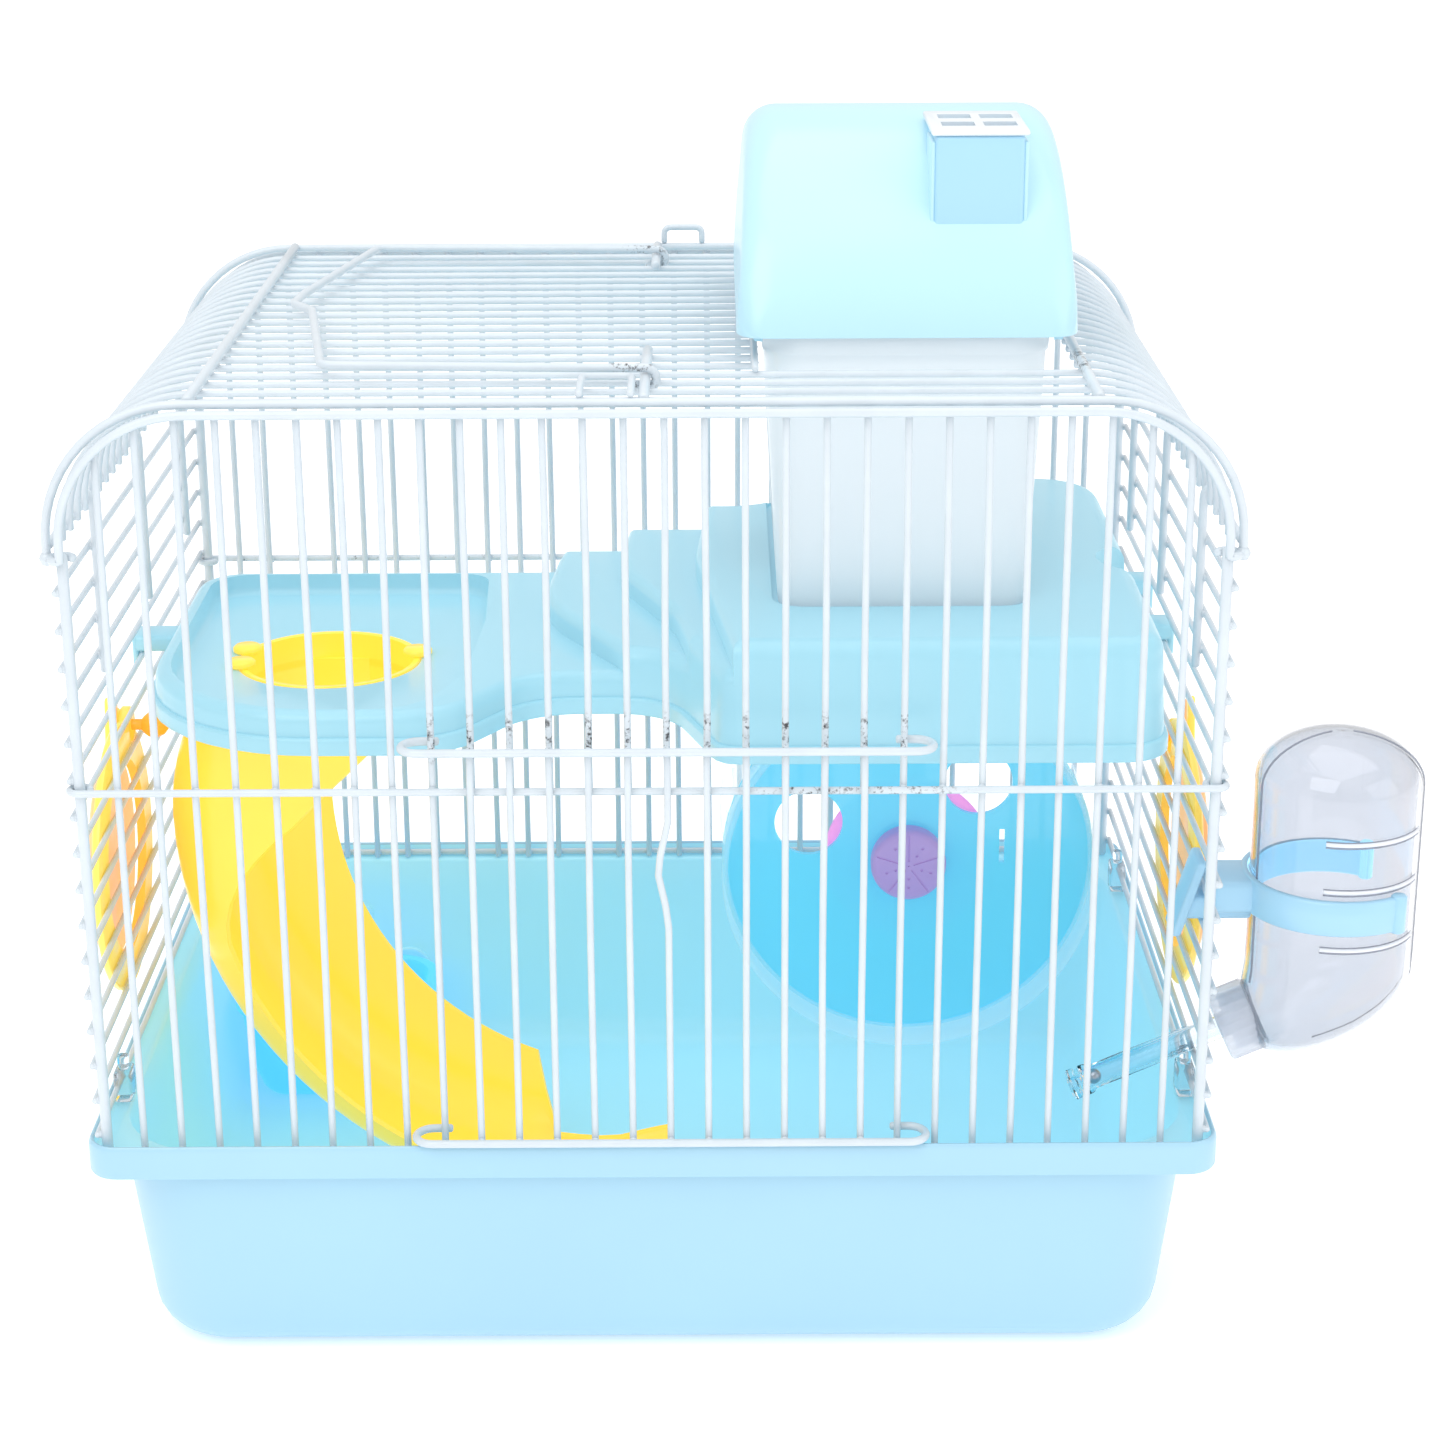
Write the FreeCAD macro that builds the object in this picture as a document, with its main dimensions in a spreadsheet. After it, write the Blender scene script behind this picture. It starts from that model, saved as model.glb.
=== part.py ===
"""A small hamster cage: a blue plastic tray, a coated wire body with an arched roof, and the toys inside.

Frame: millimetres, +Z up, origin at the centre of the tray's flat underside. +X is to the right of someone
facing the sliding door, +Y points to the back of the cage. Every sub-part is drawn where it sits in the cage.
"""
import FreeCAD, Part
import math
import os
import Sketcher

V = FreeCAD.Vector
doc = FreeCAD.newDocument("hamster_cage")
sheet = doc.addObject("Spreadsheet::Sheet", "dims")
nodes = {}

# ---------------------------------------------------------------------------------------------------
# Driving dimensions (alias, value in mm or degrees, meaning)
# ---------------------------------------------------------------------------------------------------
DIMENSIONS = [
    # wire body
    ("bays_across", 29, "gaps between the front wires"),
    ("pitch_across", 9.5, "spacing of the front and back wires"),
    ("bays_deep", 22, "gaps between the roof wires"),
    ("pitch_deep", 9.1, "spacing of the roof wires"),
    ("wire_radius", 0.9, "upright panel wire"),
    ("roof_radius", 0.85, "roof wire"),
    ("side_radius", 0.8, "level wire of the side panels"),
    ("rail_radius", 0.95, "level rail of the front and back panels"),
    ("frame_radius", 1.1, "bent frame wire, handle and hooks"),
    ("post_radius", 1.4, "corner post"),
    ("foot_height", 61.5, "lowest end of the panel wires"),
    ("low_rail_height", 62.5, "bottom rail"),
    ("mid_rail_height", 159.1, "rail above the door opening"),
    ("side_first_height", 66.5, "lowest level wire of the sides"),
    ("side_wire_count", 16, "level wires on each side"),
    ("post_top", 219, "top of the corner posts"),
    ("roof_height", 253, "centre of the flat roof wires"),
    ("arch_radius", 31.5, "bend of the roof wires at both sides"),
    ("cross_radius", 1.25, "thick rods on the roof"),
    ("cross_place", 106.3, "distance of the thick roof rods from the middle"),
    ("opening_left", 26.5, "left border of the roof opening"),
    ("opening_half_depth", 63.7, "half of the roof opening front to back"),
    ("pivot_radius", 1.3, "bars that carry the handle"),
    ("eye_place", 77.35, "distance of the handle eyes from the middle"),
    # sliding door
    ("door_first", 9, "panel wire on the door's left"),
    ("door_last", 21, "panel wire on the door's right"),
    ("door_bottom", 66.5, "centre of the door's bottom bar"),
    ("door_top", 170.5, "centre of the door's top bar"),
    ("door_bar_radius", 1.05, "door bar"),
    ("door_wire_place", 104.1, "door wires in front of the middle"),
    # tray
    ("tray_height", 65, "top of the rim"),
    ("tray_half_width", 131.6, "half of the underside's width"),
    ("tray_half_depth", 93.7, "half of the underside's depth"),
    ("tray_corner", 20, "corner radius of the underside"),
    ("tray_draft", 7, "slope of the walls in degrees"),
    ("tray_wall", 2.2, "floor and wall thickness"),
    ("tray_fillet", 12, "rounding between floor and wall"),
    ("ledge_top", 61.2, "ledge that carries the wire body"),
    ("ledge_thickness", 2.2, "ledge thickness"),
    ("skirt_bottom", 56, "lower edge of the rim"),
    ("rim_half_width", 143, "half of the rim's width"),
    ("rim_half_depth", 104.8, "half of the rim's depth"),
    ("rim_corner", 8, "corner radius of the rim"),
    ("rim_wall", 1.5, "thickness of the rim's lip"),
    # platform
    ("deck_bottom", 160, "lower edge of the platform"),
    ("deck_wall", 2, "platform thickness"),
    ("deck_floor", 165, "floor of the low deck"),
    ("step_one", 171, "rim of the low deck and first step"),
    ("step_two", 177.5, "second step"),
    ("step_three", 184, "third step"),
    ("step_top", 191, "top of the high block"),
    ("hole_x", -87, "slide hole centre"),
    ("hole_y", -15, "slide hole centre"),
    ("hole_radius", 24.7, "slide hole"),
    # slide
    ("chute_centre_x", -12, "centre of the slide's large bend"),
    ("chute_centre_z", 125, "centre of the slide's large bend"),
    ("chute_radius", 118, "large bend, measured to the underside"),
    ("chute_upper_radius", 61, "upper bend"),
    ("chute_rim_x", -4, "centre of the bend of the channel's rims"),
    ("chute_rim_z", 120, "centre of the bend of the channel's rims"),
    ("chute_rim_radius", 88, "bend of the channel's rims"),
    ("chute_top", 158, "upper end of the channel, under the deck"),
    ("chute_half_width", 23, "half of the channel"),
    ("chute_wall", 1.8, "wall of the channel"),
    # wheel
    ("wheel_x", 70, "wheel axis"),
    ("wheel_z", 100, "wheel axis"),
    ("wheel_radius", 52, "outside of the wheel"),
    ("wheel_depth", 42, "front to back"),
    ("wheel_wall", 1.6, "wall of disc and drum"),
    ("axle_radius", 3, "wheel axle"),
    ("axle_play", 0.06, "radial play of the wheel on its axle"),
    ("hub_radius", 7, "sleeve around the axle"),
    ("hub_cap_radius", 10.5, "round cap in front of the wheel"),
    ("flange_radius", 19.5, "collar behind the disc"),
    ("eye_hole_radius", 9.5, "round holes in the disc"),
    ("eye_hole_place", 30, "distance of the holes from the axis"),
    # house
    ("house_x", 64, "centre of the house"),
    ("house_foot", 189.2, "underside of the house walls"),
    ("house_height", 74.8, "height of the house walls"),
    ("house_width", 63, "width at the foot"),
    ("house_depth", 106, "depth at the foot"),
    ("house_corner", 7, "corner radius"),
    ("house_draft", 3, "slope of the walls in degrees"),
    ("house_wall", 1.6, "wall thickness"),
    ("house_door_width", 38, "doorway"),
    ("house_door_height", 42, "doorway"),
    ("lid_bottom", 261, "lower edge of the lid"),
    ("lid_width", 84, "width of the lid"),
    ("lid_axis_height", 247.5, "axis of the barrel roof"),
    ("lid_radius", 61.5, "outside of the barrel roof"),
    ("lid_wall", 1.6, "lid thickness"),
    ("chimney_x", 81.5, "centre of the chimney"),
    ("chimney_width", 22, "chimney"),
    ("chimney_front", 47.5, "front face of the chimney before the middle"),
    ("chimney_depth", 33, "chimney front to back"),
    ("chimney_top", 308, "chimney top"),
    # bottle
    ("bottle_x", 174, "bottle axis"),
    ("bottle_y", -75, "bottle axis"),
    ("bottle_radius", 22, "bottle"),
    ("bottle_wall", 1.3, "bottle wall"),
    ("bottle_low", 100, "centre of the round lower end"),
    ("bottle_shoulder", 153, "start of the domed top"),
    ("bottle_dome", 14, "height of the domed top"),
    ("neck_tilt", 24, "slope of the neck in degrees"),
    ("neck_x", 152, "point on the neck's axis"),
    ("neck_z", 86.1, "point on the neck's axis"),
    ("neck_radius", 7.2, "neck"),
    ("cap_radius", 9.5, "screw cap"),
    ("cap_length", 10, "screw cap"),
    ("tube_radius", 3.2, "drinking tube"),
    ("tube_bore", 2.3, "bore of the drinking tube"),
    ("tube_length", 41, "drinking tube beyond the cap"),
    ("ball_radius", 2, "steel ball in the tube"),
    ("band_bottom", 118, "lower edge of the bottle holder"),
    ("band_height", 9, "height of the bottle holder"),
    ("band_wall", 2.4, "thickness of the bottle holder"),
    # side ports
    ("port_radius", 36, "outside of the port ring"),
    ("port_bore", 26, "inside of the port ring"),
    ("port_thickness", 3, "port ring"),
    ("port_door_radius", 28, "round port door"),
    ("port_door_thickness", 2, "port door"),
    ("port_pin_radius", 1.5, "pin that the port door turns on"),
    ("left_port_y", -34, "left port centre"),
    ("left_port_z", 116, "left port centre"),
    ("right_port_y", -22, "right port centre"),
    ("right_port_z", 111, "right port centre"),
    # food dish
    ("dish_x", -100, "dish centre"),
    ("dish_y", 66, "dish centre"),
    ("dish_width", 48, "dish foot"),
    ("dish_depth", 38, "dish foot"),
    ("dish_height", 30, "dish height"),
    ("dish_draft", 9, "slope of the dish walls in degrees"),
]

for row, (alias, amount, meaning) in enumerate(DIMENSIONS, start=1):
    sheet.set("A%d" % row, str(amount))
    sheet.set("B%d" % row, meaning)
    sheet.setAlias("A%d" % row, alias)
doc.recompute()


def size(alias):
    """The value of one cell of the sheet."""
    return float(getattr(sheet, alias))


def number(expression):
    """The value of an expression that uses the sheet's cells."""
    return float(sheet.evalExpression(expression))


HALF_WIDTH = size("bays_across") * size("pitch_across") / 2
HALF_DEPTH = size("bays_deep") * size("pitch_deep") / 2
POST_Y = HALF_DEPTH + size("wire_radius") - size("post_radius") - 0.05
RAIL_Y = HALF_DEPTH + size("wire_radius") + size("rail_radius")
SIDE_X = HALF_WIDTH + size("post_radius") + size("side_radius")
ROOF_EDGE_X = 139.0
ROOF_ARCH_Z = size("roof_height") - size("arch_radius")


# ---------------------------------------------------------------------------------------------------
# Helpers
# ---------------------------------------------------------------------------------------------------
def keep(name, thing):
    """Register an object as the sub-part with this node name."""
    thing.Label = name
    nodes[name] = thing
    return thing


def bind(thing, **expressions):
    """Bind properties to the sheet; a double underscore stands for a dot."""
    for path, expression in expressions.items():
        thing.setExpression(path.replace("__", "."), str(expression))
    return thing


def place(thing, x, y, z, axis=None, degrees=0.0):
    """Set a placement whose base is bound to the sheet."""
    rotation = FreeCAD.Rotation(axis or V(0, 0, 1), degrees)
    thing.Placement = FreeCAD.Placement(V(0, 0, 0), rotation)
    return bind(thing, Placement__Base__x=x, Placement__Base__y=y, Placement__Base__z=z)


def cylinder(name, radius, length, x, y, z, along="Z"):
    """A cylinder that starts at x, y, z and runs along +X, +Y or +Z."""
    turn = {"X": (V(0, 1, 0), 90), "Y": (V(1, 0, 0), -90), "Z": (V(0, 0, 1), 0)}[along]
    thing = doc.addObject("Part::Cylinder", name)
    bind(thing, Radius=radius, Height=length)
    return place(thing, x, y, z, *turn)


def box(name, width, depth, height, x, y, z):
    """A box with its lowest corner at x, y, z."""
    thing = doc.addObject("Part::Box", name)
    bind(thing, Length=width, Width=depth, Height=height)
    return place(thing, x, y, z)


def fuse(name, *things):
    result = doc.addObject("Part::MultiFuse", name)
    result.Shapes = list(things)
    return result


def cut(name, base, *tools):
    """Base minus one or more tools."""
    result = doc.addObject("Part::Cut", name)
    result.Base = base
    result.Tool = tools[0] if len(tools) == 1 else fuse(name + "_tools", *tools)
    return result


def group(name, things):
    """Separate solids that share one node."""
    compound = doc.addObject("Part::Compound", name)
    compound.Links = list(things)
    return keep(name, compound)


def feature(name, shape):
    """A sub-part whose shape is made by Part's own functions."""
    thing = doc.addObject("Part::Feature", name)
    thing.Shape = shape
    return keep(name, thing)


def origin_plane(body, role):
    return next(item for item in body.Origin.OriginFeatures if item.Role == role)


def new_body(name):
    return keep(name, doc.addObject("PartDesign::Body", name))


def new_sketch(body, name, role="XY_Plane", offset="0"):
    """A sketch on one of the body's own planes, moved along the plane's normal."""
    sketch = body.newObject("Sketcher::SketchObject", name)
    sketch.AttachmentSupport = [(origin_plane(body, role), "")]
    sketch.MapMode = "FlatFace"
    sketch.setExpression("AttachmentOffset.Base.z", offset)
    return sketch


def dimension(sketch, kind, *target):
    """Add a dimension bound to the expression that comes last."""
    expression = target[-1]
    index = sketch.addConstraint(Sketcher.Constraint(kind, *target[:-1], number(expression)))
    sketch.setExpression("Constraints[%d]" % index, expression)


def draw_circle(sketch, radius, x="0", y="0"):
    ring = sketch.addGeometry(Part.Circle(V(number(x), number(y), 0), V(0, 0, 1), number(radius)))
    dimension(sketch, "Radius", ring, radius)
    for kind, place_on in (("DistanceX", x), ("DistanceY", y)):
        dimension(sketch, kind, -1, 1, ring, 3, place_on)


def draw_rounded_rectangle(sketch, width, depth, radius, x="0", y="0"):
    """A rectangle with round corners, centred on x, y."""
    half_w, half_d, r = number(width) / 2, number(depth) / 2, number(radius)
    centre_x, centre_y = number(x), number(y)
    corners = [(-1, -1), (1, -1), (1, 1), (-1, 1)]
    arcs = []
    for quarter, (sx, sy) in enumerate(corners):
        middle = V(centre_x + sx * (half_w - r), centre_y + sy * (half_d - r), 0)
        start = math.pi * (1 + quarter / 2)
        arcs.append(sketch.addGeometry(Part.ArcOfCircle(Part.Circle(middle, V(0, 0, 1), r), start,
                                                        start + math.pi / 2)))
    lines = []
    for quarter in range(4):
        first = sketch.getPoint(arcs[quarter], 2)
        last = sketch.getPoint(arcs[(quarter + 1) % 4], 1)
        lines.append(sketch.addGeometry(Part.LineSegment(first, last)))
    for quarter in range(4):
        sketch.addConstraint(Sketcher.Constraint("Tangent", arcs[quarter], 2, lines[quarter], 1))
        sketch.addConstraint(Sketcher.Constraint("Tangent", lines[quarter], 2, arcs[(quarter + 1) % 4], 1))
        sketch.addConstraint(Sketcher.Constraint("Vertical" if quarter % 2 else "Horizontal", lines[quarter]))
    for quarter in (1, 2, 3):
        sketch.addConstraint(Sketcher.Constraint("Equal", arcs[0], arcs[quarter]))
    dimension(sketch, "Radius", arcs[0], radius)
    dimension(sketch, "DistanceX", arcs[0], 3, arcs[1], 3, "(%s) - 2 * (%s)" % (width, radius))
    dimension(sketch, "DistanceY", arcs[0], 3, arcs[3], 3, "(%s) - 2 * (%s)" % (depth, radius))
    dimension(sketch, "DistanceX", -1, 1, arcs[0], 3, "(%s) - (%s) / 2 + (%s)" % (x, width, radius))
    dimension(sketch, "DistanceY", -1, 1, arcs[0], 3, "(%s) - (%s) / 2 + (%s)" % (y, depth, radius))


def pad(body, sketch, length, name, taper="0", backwards=False):
    step = body.newObject("PartDesign::Pad", name)
    step.Profile = sketch
    step.Reversed = backwards
    return bind(step, Length=length, TaperAngle=taper)


def pocket(body, sketch, length, name, taper="0", forwards=True):
    """Cut along the sketch's normal (forwards) or against it."""
    step = body.newObject("PartDesign::Pocket", name)
    step.Profile = sketch
    step.Reversed = forwards
    return bind(step, Length=length, TaperAngle=taper)


def edges_at_height(shape, height):
    """Names of the edges that lie flat at one height."""
    found = []
    for index, edge in enumerate(shape.Edges, start=1):
        bounds = edge.BoundBox
        if abs(bounds.ZMin - height) < 0.01 and abs(bounds.ZMax - height) < 0.01:
            found.append("Edge%d" % index)
    return found


def round_edges(body, base, name, height, radius):
    """Fillet every edge that lies flat at one height."""
    doc.recompute()
    fillet = body.newObject("PartDesign::Fillet", name)
    fillet.Base = (base, edges_at_height(base.Shape, number(height)))
    return bind(fillet, Radius=radius)


def rounded_polygon(corners):
    """A closed flat wire through (x, y, radius) corners, each with its own rounding."""
    count = len(corners)
    stretches = []
    for index in range(count):
        before, here, after = (V(*corners[(index + step) % count][:2], 0) for step in (-1, 0, 1))
        radius = corners[index][2]
        incoming, outgoing = (before - here).normalize(), (after - here).normalize()
        half_turn = incoming.getAngle(outgoing) / 2
        setback = radius / math.tan(half_turn)
        middle = here + (incoming + outgoing).normalize() * (radius / math.sin(half_turn) - radius)
        stretches.append((here + incoming * setback, middle, here + outgoing * setback))
    edges = []
    for index, (start, middle, end) in enumerate(stretches):
        edges.append(Part.Arc(start, middle, end).toShape())
        following = stretches[(index + 1) % count][0]
        if (following - end).Length > 1e-6:
            edges.append(Part.LineSegment(end, following).toShape())
    return Part.Wire(edges)


def prism(corners, bottom, top, inset=0.0):
    """The solid above a rounded polygon, optionally shrunk all round."""
    outline = rounded_polygon(corners)
    if inset:
        outline = outline.makeOffset2D(-inset)
    face = Part.Face(outline)
    face.translate(V(0, 0, bottom))
    return face.extrude(V(0, 0, top - bottom))


def arc_edge(centre, radius, plane_x, plane_y, start, end):
    """An arc in the plane of two unit vectors, between two angles in degrees."""
    def point(angle):
        turn = math.radians(angle)
        return centre + plane_x * (radius * math.cos(turn)) + plane_y * (radius * math.sin(turn))
    return Part.Arc(point(start), point((start + end) / 2), point(end)).toShape()


def bent_edges(points, bend):
    """Straight runs joined by tangent bends of one radius."""
    edges = []
    start = points[0]
    for before, here, after in zip(points, points[1:], points[2:]):
        incoming, outgoing = (before - here).normalize(), (after - here).normalize()
        half_turn = incoming.getAngle(outgoing) / 2
        setback = bend / math.tan(half_turn)
        middle = here + (incoming + outgoing).normalize() * (bend / math.sin(half_turn) - bend)
        first, last = here + incoming * setback, here + outgoing * setback
        if (first - start).Length > 1e-6:
            edges.append(Part.LineSegment(start, first).toShape())
        edges.append(Part.Arc(first, middle, last).toShape())
        start = last
    edges.append(Part.LineSegment(start, points[-1]).toShape())
    return edges


def round_wire(edges, radius):
    """A solid wire of one radius along connected straight and round edges."""
    path = Part.Wire(edges)
    first = path.OrderedEdges[0]
    start = first.valueAt(first.FirstParameter)
    heading = first.tangentAt(first.FirstParameter)
    section = Part.Wire([Part.makeCircle(radius, start, heading)])
    return path.makePipeShell([section], True, False)


# ---------------------------------------------------------------------------------------------------
# Tray
# ---------------------------------------------------------------------------------------------------
def make_tray():
    body = new_body("base_tray")
    foot = new_sketch(body, "tray_foot")
    draw_rounded_rectangle(foot, "2 * dims.tray_half_width", "2 * dims.tray_half_depth", "dims.tray_corner")
    pad(body, foot, "dims.ledge_top", "tray_block", "dims.tray_draft")
    hollow = new_sketch(body, "tray_hollow", offset="dims.tray_wall")
    draw_rounded_rectangle(hollow, "2 * (dims.tray_half_width - dims.tray_wall)",
                           "2 * (dims.tray_half_depth - dims.tray_wall)", "dims.tray_corner - dims.tray_wall")
    pocket(body, hollow, "dims.tray_height", "tray_inside", "dims.tray_draft")
    ledge = new_sketch(body, "tray_ledge", offset="dims.ledge_top - dims.ledge_thickness")
    draw_rounded_rectangle(ledge, "2 * dims.rim_half_width", "2 * dims.rim_half_depth", "dims.rim_corner")
    draw_rounded_rectangle(ledge, "2 * 137.2", "2 * 99.3", "dims.rim_corner + 13")
    pad(body, ledge, "dims.ledge_thickness", "tray_ledge_pad")
    lip = new_sketch(body, "tray_lip", offset="dims.skirt_bottom")
    draw_rounded_rectangle(lip, "2 * dims.rim_half_width", "2 * dims.rim_half_depth", "dims.rim_corner")
    draw_rounded_rectangle(lip, "2 * (dims.rim_half_width - dims.rim_wall)",
                           "2 * (dims.rim_half_depth - dims.rim_wall)", "dims.rim_corner - dims.rim_wall")
    rim = pad(body, lip, "dims.tray_height - dims.skirt_bottom", "tray_lip_pad")
    outside = round_edges(body, rim, "tray_outer_rounding", "0", "dims.tray_fillet")
    round_edges(body, outside, "tray_inner_rounding", "dims.tray_wall", "dims.tray_fillet - dims.tray_wall")


def make_dish():
    """The food dish on the tray floor, wider at the top."""
    body = new_body("food_dish")
    clearance = "dims.tray_wall + 0.2"
    foot = new_sketch(body, "dish_foot", offset=clearance)
    draw_rounded_rectangle(foot, "dims.dish_width", "dims.dish_depth", "9", "dims.dish_x", "dims.dish_y")
    pad(body, foot, "dims.dish_height", "dish_block", "dims.dish_draft")
    hollow = new_sketch(body, "dish_hollow", offset=clearance + " + 2")
    draw_rounded_rectangle(hollow, "dims.dish_width - 4", "dims.dish_depth - 4", "7", "dims.dish_x", "dims.dish_y")
    inside = pocket(body, hollow, "dims.dish_height", "dish_inside", "dims.dish_draft")
    round_edges(body, inside, "dish_foot_rounding", clearance, "7")
    round_edges(body, body.Tip, "dish_floor_rounding", clearance + " + 2", "5")


def make_wire_clips():
    """Clear snap clips on the lowest side wires, above the tray ledge."""
    clips = []
    for side in (-1, 1):
        for end in (-1, 1):
            name = "wire_clip_%d" % (len(clips) + 1)
            block = box(name + "_block", "5", "8", "9", side * (SIDE_X - 1.3) - 2.5, end * 70 - 4, "62")
            groove = cylinder(name + "_groove", "dims.side_radius + 0.02", "10", side * SIDE_X, end * 70 - 5,
                              "dims.side_first_height", along="Y")
            slot = box(name + "_slot", "2", "10", "1.2", side * SIDE_X + (0 if side > 0 else -2), end * 70 - 5,
                       "dims.side_first_height - 0.6")
            clips.append(cut(name, block, groove, slot))
    group("wire_clips", clips)


# ---------------------------------------------------------------------------------------------------
# Wire body
# ---------------------------------------------------------------------------------------------------
def wire_x(index):
    return -HALF_WIDTH + index * size("pitch_across")


def arch_height(x):
    """Centre height of the front and back frame arches above a given x."""
    radius = size("arch_radius") - 0.5
    beyond = max(0.0, abs(x) - (HALF_WIDTH - radius))
    return ROOF_ARCH_Z + math.sqrt(radius ** 2 - beyond ** 2)


def make_panel(name, side, short):
    """Upright wires of the front (side -1) or back (side 1) panel; short ones stop at the middle rail."""
    uprights = []
    for index in range(1, int(size("bays_across"))):
        low = "dims.mid_rail_height" if index in short else "dims.foot_height"
        length = "%.4f - %s" % (arch_height(wire_x(index)), low)
        uprights.append(cylinder("%s_%02d" % (name, index), "dims.wire_radius", length,
                                 "-dims.bays_across * dims.pitch_across / 2 + %d * dims.pitch_across" % index,
                                 side * HALF_DEPTH, low))
    group(name, uprights)


def eye_rail(side, height):
    """A level rail whose ends curl round the corner posts."""
    level = [V(0, side, 0), V(1, 0, 0)]
    curl = RAIL_Y - POST_Y
    left, right = (V(x, side * POST_Y, height) for x in (-HALF_WIDTH, HALF_WIDTH))
    edges = [arc_edge(left, curl, V(1, 0, 0), V(0, -side, 0), 20, 270),
             Part.LineSegment(left + level[0] * curl, right + level[0] * curl).toShape(),
             arc_edge(right, curl, V(1, 0, 0), V(0, -side, 0), -90, 160)]
    return round_wire(edges, size("rail_radius"))


def make_rails(name, side):
    """The low rail stays inside the rim and ends short of the posts; the middle one curls round them."""
    low, reach = size("low_rail_height"), HALF_WIDTH - 4
    plain = Part.LineSegment(V(-reach, side * RAIL_Y, low), V(reach, side * RAIL_Y, low)).toShape()
    rails = [round_wire([plain], size("rail_radius")), eye_rail(side, size("mid_rail_height"))]
    feature(name, Part.makeCompound(rails))


def arch_edges(half_width, y, corner_z, radius, end_z):
    """Up the left side, over the roof and down the right side."""
    edges = []
    for side in (-1, 1):
        centre = V(side * (half_width - radius), y, corner_z)
        quarter = arc_edge(centre, radius, V(side, 0, 0), V(0, 0, 1), 0, 90)
        leg = Part.LineSegment(V(side * half_width, y, end_z), V(side * half_width, y, corner_z)).toShape()
        edges.append([leg, quarter] if side < 0 else [quarter, leg])
    top = corner_z + radius
    across = Part.LineSegment(V(-half_width + radius, y, top), V(half_width - radius, y, top)).toShape()
    return edges[0] + [across] + edges[1]


def make_frame_arch(name, side):
    """The thick frame wire along the top of the front or back panel."""
    edges = arch_edges(HALF_WIDTH, side * (HALF_DEPTH + size("wire_radius") + size("frame_radius") - 0.05),
                       ROOF_ARCH_Z, size("arch_radius") - 0.5, size("post_top"))
    feature(name, round_wire(edges, size("frame_radius")))


def make_side_wires(name, side):
    wires = []
    for index in range(int(size("side_wire_count"))):
        wires.append(cylinder("%s_%02d" % (name, index + 1), "dims.side_radius", 2 * HALF_DEPTH + 1, side * SIDE_X,
                              -HALF_DEPTH - 0.5, "dims.side_first_height + %d * dims.pitch_across" % index, along="Y"))
    group(name, wires)


def make_posts():
    posts = []
    for index, (sx, sy) in enumerate(((-1, -1), (1, -1), (-1, 1), (1, 1)), start=1):
        posts.append(cylinder("post_%d" % index, "dims.post_radius", "dims.post_top - dims.foot_height",
                              sx * HALF_WIDTH, sy * POST_Y, "dims.foot_height"))
    group("corner_posts", posts)


def make_roof_hooks(name, side):
    """Upright hooks inside a side panel, curled over the roof's end rod."""
    rod_x, rod_z = ROOF_EDGE_X + size("roof_radius") + size("frame_radius"), ROOF_ARCH_Z - 1
    inner_x = SIDE_X - size("side_radius") - size("frame_radius")
    curl = rod_x - inner_x
    hooks = []
    for bay in (-6.5, 0.5, 7.5):
        y = bay * size("pitch_deep")
        leg = Part.LineSegment(V(side * inner_x, y, 176), V(side * inner_x, y, rod_z)).toShape()
        bend = arc_edge(V(side * rod_x, y, rod_z), curl, V(-side, 0, 0), V(0, 0, 1), 0, 190)
        hooks.append(round_wire([leg, bend], size("frame_radius")))
    feature(name, Part.makeCompound(hooks))


def make_roof_wires():
    """Arched wires from side to side; those behind the house stop at the roof opening."""
    solids = []
    radius, top = size("arch_radius"), size("roof_height")
    half_opening = size("opening_half_depth")
    for index in range(1, int(size("bays_deep"))):
        y = -HALF_DEPTH + index * size("pitch_deep")
        edges = arch_edges(ROOF_EDGE_X, y, ROOF_ARCH_Z, radius, ROOF_ARCH_Z - 2)
        if abs(y) > half_opening - 0.1:
            solids.append(round_wire(edges, size("roof_radius")))
            continue
        left_end = V(size("opening_left") + size("roof_radius"), y, top)
        right_end = V(size("cross_place") - size("cross_radius"), y, top)
        knee = ROOF_EDGE_X - radius
        left = edges[:2] + [Part.LineSegment(V(-knee, y, top), left_end).toShape()]
        right = [Part.LineSegment(right_end, V(knee, y, top)).toShape()] + edges[3:]
        solids += [round_wire(part, size("roof_radius")) for part in (left, right)]
    feature("roof_wires", Part.makeCompound(solids))


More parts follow.
